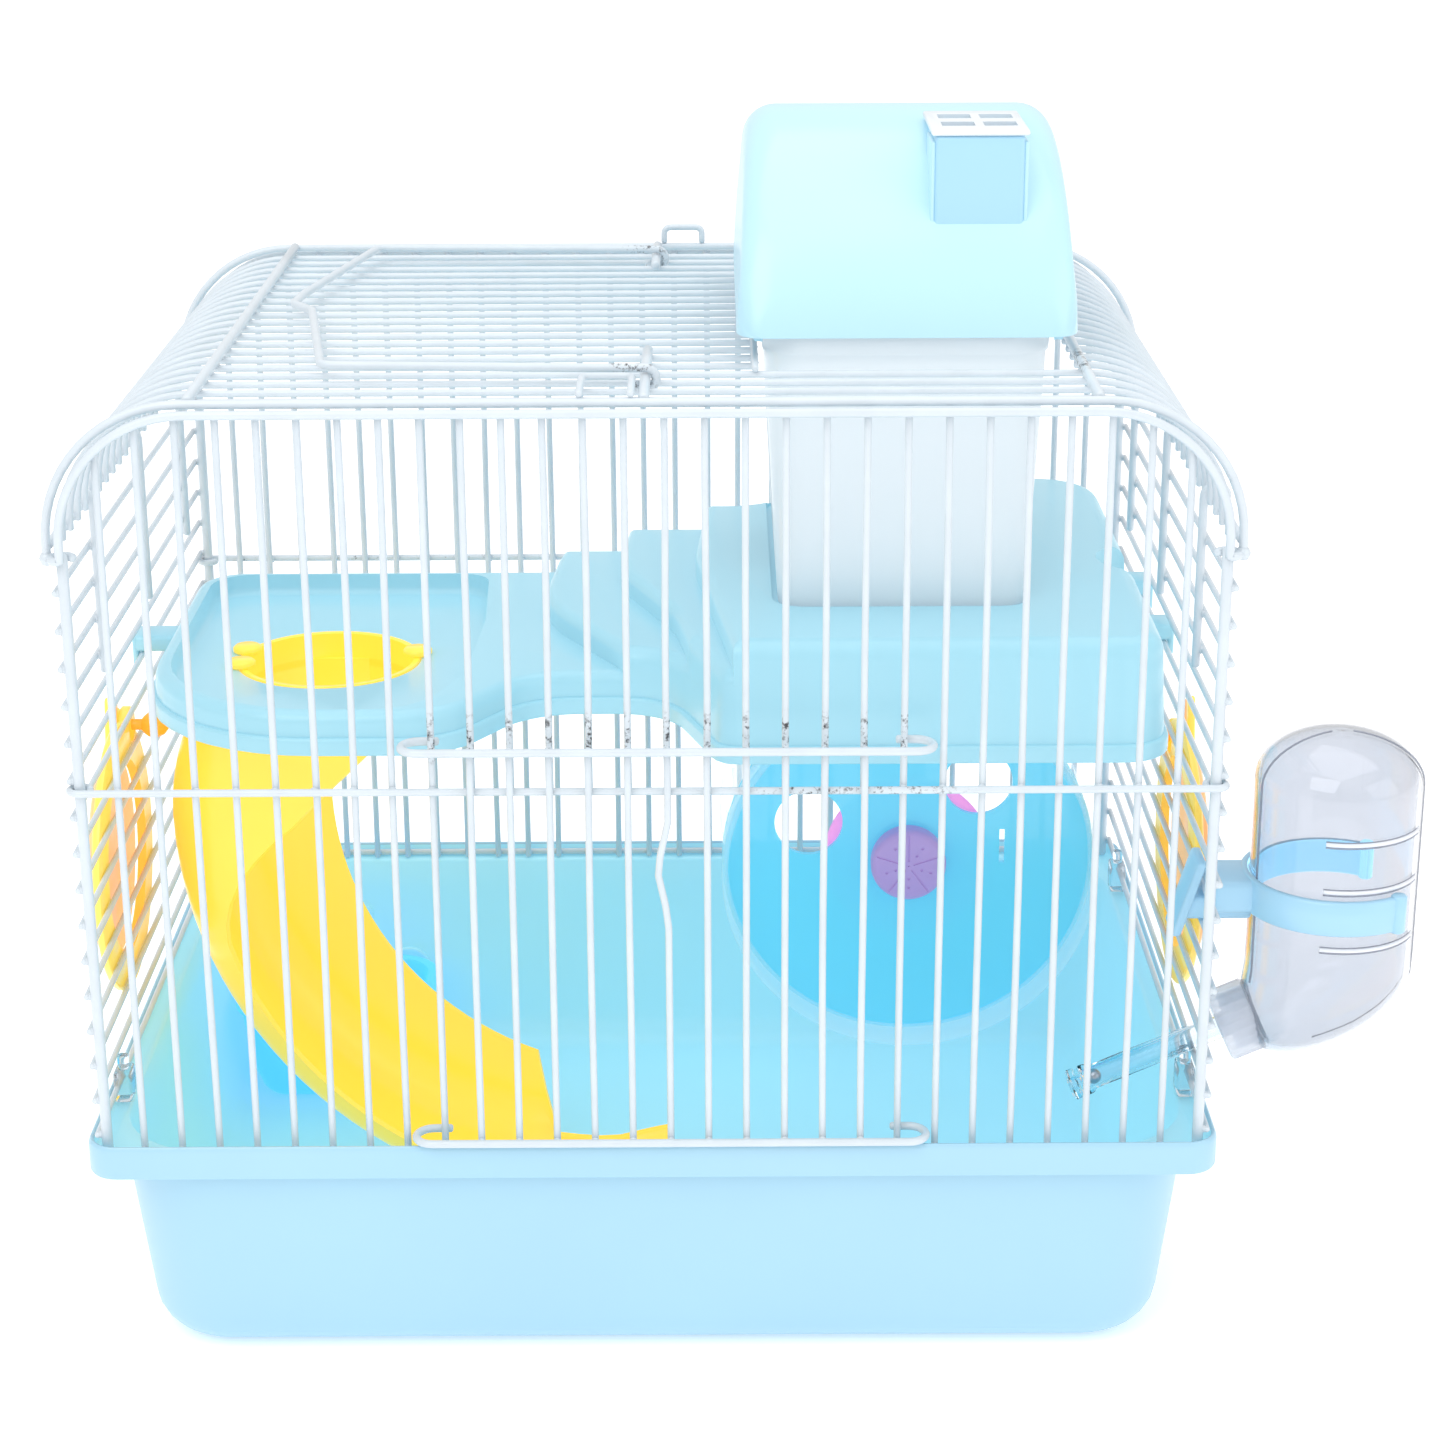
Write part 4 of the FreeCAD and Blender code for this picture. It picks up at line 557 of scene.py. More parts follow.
HALF_W, HALF_D = 137.75, 100.1
PITCH, DEEP = 9.5, 9.1
POST_Y, RAIL_Y, SIDE_X = 99.55, 101.95, 139.95
ARCH_Z, ROOF_Z = 221.5, 253.0
ROOF_X, END_X, ROD_X = 139, 140.95, 106.3
LOW_RAIL_Z, MID_RAIL_Z, PIVOT_Z = 62.5, 159.1, 255.15
DOOR_ENDS = (66.5, 170.5)


def wire_x(index):
    return -HALF_W + index * PITCH


def arch_height(x):
    beyond = max(0, abs(x) - (HALF_W - 31))
    return ARCH_Z + sqrt(31.0 ** 2 - beyond ** 2)


def arch_points(half, y, radius, end_z, steps=14):
    left = arc((-half + radius, y, ARCH_Z), radius, (-1, 0, 0), ALONG_Z, 0, 90, steps)
    right = arc((half - radius, y, ARCH_Z), radius, ALONG_X, ALONG_Z, 90, 0, steps)
    across = [left[-1].lerp(right[0], k / 8) for k in range(1, 8)]
    return [Vector((-half, y, end_z))] + left + across + right + [Vector((half, y, end_z))]


def panel(name, side, replaced):
    wires = Wires()
    for index in range(1, 29):
        x = wire_x(index)
        short = side < 0 and 10 <= index <= 20
        low = MID_RAIL_Z - 0.5 if short else LOW_RAIL_Z - 1
        wires.add(sagged((x, side * HALF_D, low), (x, side * HALF_D, arch_height(x)), 0.5), 0.9,
                  1 if side < 0 and 9 <= index <= 21 else 0)
        for height in (MID_RAIL_Z,) if short else (LOW_RAIL_Z, MID_RAIL_Z):
            wires.bead((x, side * 101.05, height), (1.15, 0.8, 1.2), 2)
        wires.bead((x, side * 101, arch_height(x) - 0.2), (1.1, 0.9, 1.1))
    wires.add(sagged((-133.7, side * RAIL_Y, LOW_RAIL_Z), (133.7, side * RAIL_Y, LOW_RAIL_Z), 0.1, 20), 0.95)

    def curls(radius, height, left_from, right_to):
        """The ends of a level wire, curled round the two corner posts."""
        return (arc((-HALF_W, side * POST_Y, height), radius, ALONG_X, (0, -side, 0), left_from, 270, 18),
                arc((HALF_W, side * POST_Y, height), radius, ALONG_X, (0, -side, 0), -90, right_to, 18))

    left, right = curls(2.45, MID_RAIL_Z, 10, 170)
    start, end = ((x, side * RAIL_Y, MID_RAIL_Z) for x in (1 - HALF_W, HALF_W - 1))
    straight = sagged(start, end, 0.2, 20)
    wires.add(left + straight[1:-1] + right, 0.95, 3 if side < 0 else 2)
    eye_left, eye_right = curls(2.6, 217.4, 20, 160)
    over = arch_points(HALF_W, side * 102.05, 31, 219.4)
    wires.add(eye_left + over + eye_right, 1.1)
    wires.make(name, [WIRE, WIRE_DOOR_BAND, WIRE_EYES, WIRE_RAIL], "cage", replaced)


def side_panel(name, side, replaced):
    wires = Wires()
    for index in range(16):
        z = 66.5 + index * PITCH
        wires.add(sagged((side * SIDE_X, -HALF_D - 0.5, z), (side * SIDE_X, HALF_D + 0.5, z), 0.25), 0.8)
        for end in (-1, 1):
            wires.bead((side * 139.2, end * POST_Y, z), (0.8, 1.1, 1.1))
    for bay in (-6.5, 0.5, 7.5):
        y = bay * DEEP
        leg = [(side * 138.05, y, z) for z in (176, 200, ARCH_Z - 1)]
        hook = arc((side * END_X, y, ARCH_Z - 1), 2.9, (-side, 0, 0), ALONG_Z, 8, 190, 14)
        wires.add(leg + hook, 1.1)
        for index in range(12, 16):
            wires.bead((side * 139.15, y, 66.5 + index * PITCH), (0.7, 1.2, 1.1))
    wires.make(name, [WIRE], "cage", replaced)


def corner_posts():
    wires = Wires(16)
    for sx, sy in CORNERS:
        wires.add([(sx * HALF_W, sy * POST_Y, z) for z in (61.5, 100, 159, 200, 219)], 1.4)
    wires.make("corner_post_wires", [WIRE], "cage", ["corner_posts"])


def roof():
    wires = Wires()
    for index in range(1, 22):
        y = -HALF_D + index * DEEP
        points = arch_points(ROOF_X, y, 31.5, ARCH_Z - 2)
        if abs(y) > 63.6:
            wires.add(points, 0.85)
        else:
            knee = ROOF_X - 31.5
            left = [p for p in points if p.x < -knee + 1e-3]
            right = [p for p in points if p.x > knee - 1e-3]
            wires.add(left + [(x, y, ROOF_Z) for x in (-70, -30, 0, 27.3)], 0.85)
            wires.add([(105.05, y, ROOF_Z), (106.5, y, ROOF_Z)] + right, 0.85)
            wires.bead((26.5, y, ROOF_Z + 0.9), (1.1, 1.1, 0.8))
        for x in (-ROD_X, ROD_X):
            wires.bead((x, y, ROOF_Z + 0.95), (1.25, 1.1, 0.8))
        for side in (-1, 1):
            wires.bead((side * 139.9, y, ARCH_Z - 1), (0.7, 1.1, 1.1))
    wires.add([(26.5, y, 254.7) for y in (-65.7, 0, 65.7)], 0.85)
    wires.make("roof_wire_set", [WIRE], "cage", ["roof_wires", "roof_opening_wire"])
    frames = Wires(16)
    for side in (-1, 1):
        y = side * 99.4
        frames.add(arch_points(141.3, y, 33, ARCH_Z - 3), 1.1)
        for end in (-1, 1):
            frames.bead((end * 141.3, y, ARCH_Z - 4), (1.9, 1.9, 1.9))
        frames.add([(side * END_X, along, ARCH_Z - 1) for along in (-98.4, 0, 98.4)], 1.1)
    frames.make("roof_frame_wires", [WIRE], "cage", ["roof_frame", "roof_end_rods"])
    rods = Wires(16)
    for x in (-ROD_X, ROD_X):
        rods.add([(x, y, 255.1) for y in (-98.3, -60, 0, 60, 98.3)], 1.25, 1 if x > 0 else 0)
    rods.make("roof_rods", [WIRE, coated_wire("rod_scorched", "Y", -0.075, -0.050, 0.5)], "cage",
              ["roof_cross_rods"])
    latches = Wires()
    front = [(x, y, 256.45) for x, y in ((-15, -99.4), (-15, -80), (-3, -80), (-3, -99.4))]
    back = [(x, 99.4, z) for x, z in ((2, 255.6), (2, 260.2), (13, 260.2), (13, 255.6))]
    for loop in (front, back):
        latches.add(bent(loop, 2.5), 0.9)
    latches.make("latch_loops", [WIRE], "cage", ["front_latch", "back_latch"])
    bars = Wires(16)
    for stops in ((-98.3, -80, -60, -45), (66, 80, 98.3)):
        bars.add([(0, y, PIVOT_Z) for y in stops], 1.3)
    bars.make("handle_bars", [WIRE], "cage", ["handle_pivot_bars"])


def carrying_handle():
    wires = Wires(16)
    curl, eye = 2.65, 77.35
    top = PIVOT_Z + curl
    path = bent([(0, -eye, top), (-9, -eye, top), (-78, -73, top), (-88, -8, top), (-94, 1, top),
                 (-93, 14, top), (-80, 81, top), (-9, eye, top), (0, eye, top)], 4)
    front = arc((0, -eye, PIVOT_Z), curl, ALONG_X, ALONG_Z, -170, 80, 20)
    back = arc((0, eye, PIVOT_Z), curl, ALONG_X, ALONG_Z, 80, -170, 20)
    wires.add(front + path[:-1] + back, 1.1)
    wires.make("handle_wire", [WIRE_PIVOT], "handle", ["carry_handle"])


def sliding_door():
    wires = Wires()
    for index in range(10, 21):
        x = wire_x(index)
        if index == 15:
            kinked = ((0, 65.9), (0, 110), (0, 124), (-0.72, 130), (-2.4, 138), (-1.92, 143), (0, 152),
                      (0, 171.1))
            wires.add([(x + aside, -104.1, z) for aside, z in kinked], 0.9)
        else:
            wires.add(sagged((x, -104.1, 65.9), (x, -104.1, 171.1), 0.35), 0.9)
        for z in DOOR_ENDS:
            wires.bead((x, -105.1, z), (1.15, 0.8, 1.2), 1)
    curl = 4.4
    left, right, y = wire_x(9) - 2.75, wire_x(21) + 2.75, -106.05
    for z in DOOR_ENDS:
        start = [(left + 4.5, y + 2 * curl, z)]
        start += arc((left, y + curl, z), curl, ALONG_Y, (-1, 0, 0), 0, 180, 16)
        end = arc((right, y + curl, z), curl, FORWARD, ALONG_X, 0, 180, 16) + [(right - 4.5, y + 2 * curl, z)]
        middle = sagged(start[-1], end[0], 0.3, 12)
        wires.add(start + middle[1:-1] + end, 1.05)
    wires.make("door_wire_set", [WIRE, WIRE_DOOR_BAND], "door", ["door_wires", "door_bars"])


# ---- Tray and dish
def curve_up(reach, radius, top, angles):
    """Points of (half width, height) on the rounded foot of a wall."""
    return [(reach + radius * sin(radians(a)), top - radius * cos(radians(a))) for a in angles]


def tray():
    slope = tan(radians(7))
    wall = [(131.6 + z * slope, z) for z in (14, 24, 34, 44, 52, 56.8)]
    foot = curve_up(120.98, 12, 12, (0, 14, 28, 42, 56, 70, 83))
    rings = [rounded_rectangle(h, h - 37.9, 20 + h - 131.6, z) for h, z in [(100, 0)] + foot + wall]
    rim = [(139, 58.2), (140, 58.9), (141.3, 58.8), (141.6, 57.8), (141.7, 56.5), (142.1, 56.05),
           (142.7, 56.15), (143, 56.7), (143, 63.6), (142.8, 64.5), (142.4, 64.95), (141.9, 64.9),
           (141.55, 64.4), (141.5, 62), (141.3, 61.4), (140.8, 61.2), (138, 61.2)]
    rings += [rounded_rectangle(h, h - 38.2, max(2, 8 + h - 143), z) for h, z in rim]
    inner_wall = [(137, 61), (136.5, 60.4), (135.6, 52), (134.4, 42), (133.2, 32), (132, 22), (130.9, 13)]
    inner_foot = curve_up(120.9, 9.8, 12, (76, 60, 45, 30, 15, 0))
    rings += [rounded_rectangle(h, h - 37.9, 18 + h - 129.4, z) for h, z in inner_wall + inner_foot]
    rings.append(rounded_rectangle(100, 62, 3, 2.2))
    body = ring_loft("tray_shell", rings, TRAY)
    body.data.materials.append(TRAY_INSIDE_MATTE_GLOW)
    ring_size = len(rings[0])
    inside_from = len(rings) - len(inner_wall) - len(inner_foot) - 6
    # Inside wall and floor faces take the matte plastic; its stronger glow is painted light.
    for face in body.data.polygons:
        if min(face.vertices) >= inside_from * ring_size:
            face.material_index = 1
    for x, z, r in ((-81, 27, 6.5), (-95, 44, 3)):
        y = 91.2 + z * slope
        ring = [(0, 0), (0.9, 0), (1.2, 0.3), (1.2, 1), (0.9, 1.3), (0.2, 1.3)]
        boss = lathe("boss", [(rise, r - inwards) for rise, inwards in ring], (x, y + 0.4, z), (0, -1, -0.12),
                     TRAY_INSIDE_MATTE_GLOW, 40)
        body = join("tray_shell", [body, boss])
    finish_piece(body, "tray", "tray_blue", "base_tray")


def dish():
    rings = []
    slope = tan(radians(9))
    outer = [(10, 0), (17, 0)] + curve_up(17, 7, 7, (15, 30, 45, 60, 80))
    outer += [(24 + z * slope, z) for z in (10, 20, 28.6)]
    outer += [(29.4, 28.9), (30, 29.3), (30, 29.8), (29.6, 30)]
    inner = [(26.8, 30), (26.4, 29.4), (24.6, 20), (23.1, 10), (21.6, 5), (19, 2.6), (15, 2), (8, 2)]
    for h, z in outer + inner:
        rings.append(rounded_rectangle(h, h - 5, max(1, 9 + h - 24), z + 2.4, -100, 66))
    finish_piece(ring_loft("dish_shell", rings, DISH), "dish", "dish_blue", "food_dish")


def clips():
    things = []
    for side, end in CORNERS:
        x, y = side * (SIDE_X - 1.3), end * 70
        for wide, deep, low, high in ((2.3, 3.6, 62.2, 70.8), (1.4, 1.6, 70.4, 74.6)):
            things.append(box_mesh("clip", (x - wide, y - deep, low), (x + wide, y + deep, high), CLIP, 0.8))
    finish_piece(join("snap_clips", things), "cage", "clear_clip", "wire_clips")


# ---- Platform and slide
FRONT, RIGHT, BACK = -86.5, 129.5, 78.0
HOLE = (-87, -15)
DECK_OUTLINE = [(-131.5, 49, 14), (-131.5, -79, 48), (-50, -79, 22), (-31, -48, 22), (4, -48, 18),
                (17, FRONT, 7), (RIGHT, FRONT, 12), (RIGHT, BACK, 20), (44, BACK, 14), (28, 49, 14)]
STEPS = [(177.5, [(-20, 90, 4), (-28, 40, 20), (-31, -2, 60), (-8, -44, 30), (14, -110, 4), (160, -110, 4),
                  (160, 110, 4)]),
         (184, [(0, 90, 4), (-8, 48, 20), (-10, 8, 50), (6, -34, 24), (18, -110, 4), (160, -110, 4),
                  (160, 110, 4)]),
         (191, [(22, 110, 4), (14, 48, 20), (11, -2, 60), (24, -110, 20), (160, -110, 4), (160, 110, 4)])]
LOW_DECK = [(-126, 44, 11), (-126, -74.5, 44), (-58, -74.5, 18), (-48, -45, 10), (-46, 0, 60), (-48, 44, 8)]


def platform():
    outline = rounded_outline(DECK_OUTLINE)
    body = filleted_prism("platform_shell", outline, 160.6, 171, 3.2, DECK, shrink=1, draft=0.4)
    parts = []
    for level, (top, mask) in enumerate(STEPS):
        solid = filleted_prism("step", outline, 160.9 + 0.3 * level, top, 4.2 + level * 0.4, DECK,
                               shrink=1.02 + 0.02 * level, draft=0.5 + 0.3 * level)
        keeper = filleted_prism("mask", rounded_outline(mask), 140, top - 0.05, 3, DECK)
        parts.append(boolean(solid, "INTERSECT", keeper))
    boolean(body, "UNION", *parts)
    flange = filleted_prism("flange", outline, 160, 164.6, 0.9, DECK, foot=0.7)
    boolean(body, "UNION", flange)
    hollow = [filleted_prism("cavity", outline, 150, 163, 1, DECK, shrink=3)]
    for top, mask in STEPS:
        solid = filleted_prism("cavity", outline, 151, top - (4 if top > 190 else 2), 2, DECK, shrink=3.4)
        keeper = filleted_prism("mask", inset(rounded_outline(mask), 2), 140, 200, 1, DECK)
        hollow.append(boolean(solid, "INTERSECT", keeper))
    boolean(body, "DIFFERENCE", *hollow)
    recess = filleted_prism("recess", rounded_outline(LOW_DECK), 165, 175, 1, DECK, foot=2.4)
    hole = lathe("hole", [(0, 24.7), (14, 24.7), (14.6, 26), (30, 26)], (*HOLE, 150.6), ALONG_Z, DECK, 64)
    notch, notch_wall = (lathe("notch", [(0, r), (60, r)], (RIGHT + 1, -11, 150), ALONG_Z, DECK, 48)
                         for r in (12.5, 14.5))
    foot = rounded_outline([(HOUSE_X + x, y, 8) for x, y in ((-33, -54.5), (33, -54.5), (33, 54.5), (-33, 54.5))])
    seat = filleted_prism("seat", foot, 189, 199, 1, DECK)
    keeper = filleted_prism("mask", outline, 161, 188.5, 1, DECK, shrink=2.4, draft=1.1)
    boolean(body, "UNION", boolean(notch_wall, "INTERSECT", keeper))
    boolean(body, "DIFFERENCE", recess, hole, notch, seat)
    fix_normals(body.data)
    shade(body.data, 38)
    hooks = []
    for side, edge, places in ((-1, 131.5, (4,)), (1, RIGHT, (10, 52))):
        for y in places:
            for inner, outer, low, high, soft in ((edge - 2, 142.3, 162.5, 167, 1.2),
                                                  (140.95, 142.4, 158.6, 166.8, 0.6)):
                x0, x1 = sorted((side * inner, side * outer))
                hooks.append(box_mesh("hook", (x0, y - 5.5, low), (x1, y + 5.5, high), DECK, soft))
    finish_piece(join("platform_shell", [body] + hooks), "cage", "deck_blue", "platform")


def slide():
    big, bend, top = 118, 61, 158.0
    centre, rim = Vector((-12, -15, 125)), Vector((-4, -15, 120))
    stations = []
    for step in range(8):
        up = (top - centre.z) * (1 - step / 8)
        stations.append((centre + Vector((bend - big - sqrt(bend ** 2 - up ** 2), 0, up)), Vector(ALONG_X)))
    for step in range(31):
        angle = radians(3 * step)
        inward = Vector((cos(angle), 0, sin(angle)))
        stations.append((centre - inward * big, inward))
    end = stations[-1][0]
    for step in range(1, 6):
        stations.append((end + Vector((3.0 * step, 0, 0.03 * step ** 2)), Vector(ALONG_Z)))
    rings = []
    for point, inward in stations:
        along = (rim - point).dot(inward)
        depth = along - sqrt(max(0, 88.0 ** 2 - (rim - point).length ** 2 + along ** 2))
        drop = top - point.z
        flare = 1 - smooth_step(0, 42, drop)
        lip = 5.0 * smooth_step(-26, 5, point.x)
        low_wall = 9.5 * (1 - 0.85 * smooth_step(-62, -30, point.x))
        far = (depth + 20.0 * flare) * (1 - 0.95 * smooth_step(-42, -30, point.x)) + lip
        near = low_wall + 48.0 * (1 - smooth_step(-6, 72, drop)) + lip
        rings.append([tuple(p) for p in channel(point, inward, 23, near, far, 1.9, 15)])
    body = ring_loft("slide_channel", rings, YELLOW, smooth=50)
    flat = rounded_outline([(-119, -38, 15.5), (-61, -38, 15.5), (-61, 8, 15.5), (-119, 8, 15.5)])
    flange = filleted_prism("flange", flat, 156, 158, 0.5, YELLOW)
    bore = lathe("bore", [(0, 22.6), (40, 22.6)], (*HOLE, 140), ALONG_Z, YELLOW, 64)
    boolean(flange, "DIFFERENCE", bore)
    collar = lathe("collar", [(0, 22.6), (0, 24.4), (19, 24.4), (19.4, 24.1), (19.4, 22.9), (19.2, 22.6)],
                   (*HOLE, 145.6), ALONG_Z, YELLOW, 64, closed=True)
    tabs = []
    for turn in (8, 165, 196):
        place = (HOLE[0] + 23.6 * cos(radians(turn)), HOLE[1] + 23.6 * sin(radians(turn)), 164.9)
        tab = lathe("tab", [(0, 3.2), (0.5, 3.9), (1.4, 3.9), (2, 3.2)], place, ALONG_Z, YELLOW, 20)
        tabs.append(tab)
    finish_piece(join("slide_channel", [body, flange, collar] + tabs), "cage", "slide_yellow", "slide_chute")


def smooth_step(low, high, value):
    t = max(0, min(1, (value - low) / (high - low)))
    return t * t * (3 - 2 * t)


def channel(point, inward, half, near, far, wall, corner):
    """One closed U section: near is the wall at -Y, far the wall at +Y."""
    near, far = max(near, corner * 0.2), max(far, corner * 0.2)
    lip = 0.9

    def at(aside, rise):
        return point + Vector((0, aside, 0)) + inward * rise

    def rounded(side, height, radius):
        """One corner, kept below the wall's height."""
        return [at(side * (half - corner + radius * cos(turn)), min(corner - radius * sin(turn), height))
                for turn in quarter(6)]

    left_outer, right_outer = rounded(-1, near, corner), rounded(1, far, corner)
    left_inner, right_inner = rounded(-1, near, corner - wall), rounded(1, far, corner - wall)
    outline = [at(-half, near)] + left_outer + list(reversed(right_outer)) + [at(half, far)]
    outline += [at(half - wall * 0.5, far + lip), at(half - wall, far)] + right_inner
    outline += list(reversed(left_inner)) + [at(-half + wall, near), at(-half + wall * 0.5, near + lip)]
    return outline


# ---- Wheel
WHEEL_X, WHEEL_Z = 70, 100


def at_wheel(y, reach=0, turn=0):
    return (WHEEL_X + reach * cos(turn), y, WHEEL_Z + reach * sin(turn))


def wheel():
    profile = [(0, 3.06), (0, 20), (0, 40), (0, 49.5), (0.35, 51.2), (1, 51.9), (1.6, 52), (1.6, 40),
               (1.6, 20), (1.6, 3.06)]
    disc = lathe("wheel_face", profile, at_wheel(0), ALONG_Y, WHEEL_BLUE, 96, closed=True)
    cutters = [lathe("cut", [(0, 9.5), (8, 9.5)], at_wheel(-4, 30, radians(angle)), ALONG_Y, None, 48)
               for angle in (158, 50)]
    slit = box_mesh("cut", (WHEEL_X + 25.5, -4, WHEEL_Z - 1), (WHEEL_X + 27, 4, WHEEL_Z + 9), None, 0)
    boolean(disc, "DIFFERENCE", *cutters, slit)
    finish_piece(disc, "wheel", "wheel_blue", "wheel_disc")
    lip = lathe("front_lip", [(0, 50.4), (0, 52), (9, 52), (10.6, 52.2), (11.2, 51.9), (11.3, 50.9),
                              (10.8, 50.4)],
                at_wheel(-0.05), FORWARD, WHEEL_CLEAR, 96, closed=True)
    drum = lathe("wheel_rim", [(0, 50.4), (0, 52), (12, 52), (26, 52), (38.6, 52), (39.2, 52.6), (40, 52.7),
                               (40.4, 52.2), (40.4, 50.8), (40, 50.4), (26, 50.4), (12, 50.4)],
                 at_wheel(1.65), ALONG_Y, WHEEL_CLEAR, 96, closed=True)
    rungs = [lathe("rung", [(-18, 0.2), (-17.6, 0.6), (0, 0.6), (17.6, 0.6), (18, 0.2)],
                   at_wheel(21, 50.1, 2 * pi * k / 24), ALONG_Y, WHEEL_CLEAR, 8) for k in range(24)]
    finish_piece(join("wheel_rim", [drum, lip] + rungs), "wheel", "wheel_clear", "wheel_drum")
    hub = lathe("hub_sleeve", [(0, 3.06), (0, 22.4), (0.3, 23.2), (1, 23.5), (1.9, 23.2), (2.3, 22.4),
                               (2.4, 9), (3.6, 7.4), (5, 7), (36.5, 7), (37.4, 6.4), (37.4, 3.06)],
                at_wheel(1.65), ALONG_Y, PINK, 64, closed=True)
    finish_piece(hub, "wheel", "hub_pink", "wheel_hub")
    cap = lathe("hub_cap", [(0, 8.5), (0, 10.4), (3.6, 10.5), (4.6, 9.9), (5, 8.8), (5, 4), (5, 0.2),
                            (3.6, 0.2), (3.6, 8.5)],
                at_wheel(-0.02), FORWARD, PURPLE, 64, closed=True)
    cutters = []
    for k in range(5):
        turn = radians(90 + 72 * k)
        cutters.append(groove(at_wheel(-5.4, 5.4, turn), turn, 8, 0.26))
        turn += radians(36)
        for reach in (3.8, 6.4):
            cutters.append(lathe("dot", [(0, 0.42), (0.8, 0.42)], at_wheel(-5.4, reach, turn), ALONG_Y, None, 12))
    boolean(cap, "DIFFERENCE", *cutters)
    finish_piece(cap, "wheel", "cap_purple", "wheel_hub_cap")


def groove(spot, turn, length, width):
    """A cutter for one groove of the hub cap's star."""
    direction = Vector((cos(turn), 0, sin(turn)))
    across = Vector((-sin(turn), 0, cos(turn)))
    verts = []
    for y in (0, 0.75):
        for a, b in ((-1, -1), (1, -1), (1, 1), (-1, 1)):
            middle = Vector(spot) + Vector((0, y, 0))
            verts.append(tuple(middle + direction * a * length / 2 + across * b * width))
    faces = [(0, 1, 2, 3), (7, 6, 5, 4), (0, 4, 5, 1), (1, 5, 6, 2), (2, 6, 7, 3), (3, 7, 4, 0)]
    return make_object("groove", verts, faces, None)


def wheel_mount():
    arm = box_mesh("arm", (62, 46, 100), (78, 52, 187), DECK, 1.2)
    boss = lathe("boss", [(0, 7.4), (0.5, 8), (5.5, 8), (6, 7.4)], at_wheel(46), ALONG_Y, DECK, 40)
    foot = box_mesh("foot", (50, 38, 184), (90, 60, 186.9), DECK, 0.8)
    finish_piece(join("wheel_arm", [arm, boss, foot]), "cage", "deck_blue", "wheel_bracket")
    axle = lathe("wheel_pin", [(0, 2.4), (0.5, 3), (54, 3), (54.6, 2.4)], at_wheel(-2.6), ALONG_Y, STEEL, 32)
    finish_piece(axle, "cage", "axle_steel", "wheel_axle")
    washer = lathe("pin_washer", [(0, 3), (0, 5.7), (0.2, 6), (0.6, 6), (0.8, 5.7), (0.8, 3)],
                   at_wheel(-1.3), ALONG_Y, STEEL, 40, closed=True)
    finish_piece(washer, "cage", "axle_steel", "axle_washer")


# ---- House
HOUSE_X = 64


def house():
    slope = tan(radians(3))
    rings = []
    outside = [(0, 24), (0, 1.2), (0.3, 0.5), (1, 0), (10, 0), (25, 0), (45, 0), (60, 0), (66, 0),
               (66.6, -0.5), (67.4, -0.6), (73.6, -0.6), (74.4, -0.4)]
    inside = [(74.8, 0.2), (74.8, 0.9), (74.2, 1.3), (60, 1.6), (45, 1.6), (25, 1.6), (10, 1.6), (3.2, 1.7),
              (2, 2.4), (1.6, 4), (1.6, 24)]
    for rise, shrink in outside + inside:
        grow = rise * slope - shrink
        corner = max(1, 7 + grow)
        rings.append(rounded_rectangle(31.5 + grow, 53 + grow, corner, 189.2 + rise, HOUSE_X, 0, 10, 6))
    body = ring_loft("house_shell", rings, HOUSE)
    arch = rounded_outline([(-19, 191.2, 3), (19, 191.2, 3), (19, 233, 18), (-19, 233, 18)])
    rings = [[(x, p.x, p.y) for p in arch] for x in (24, 40)]
    boolean(body, "DIFFERENCE", ring_loft("door", rings, None))
    finish_piece(body, "house", "house_white", "house_box")


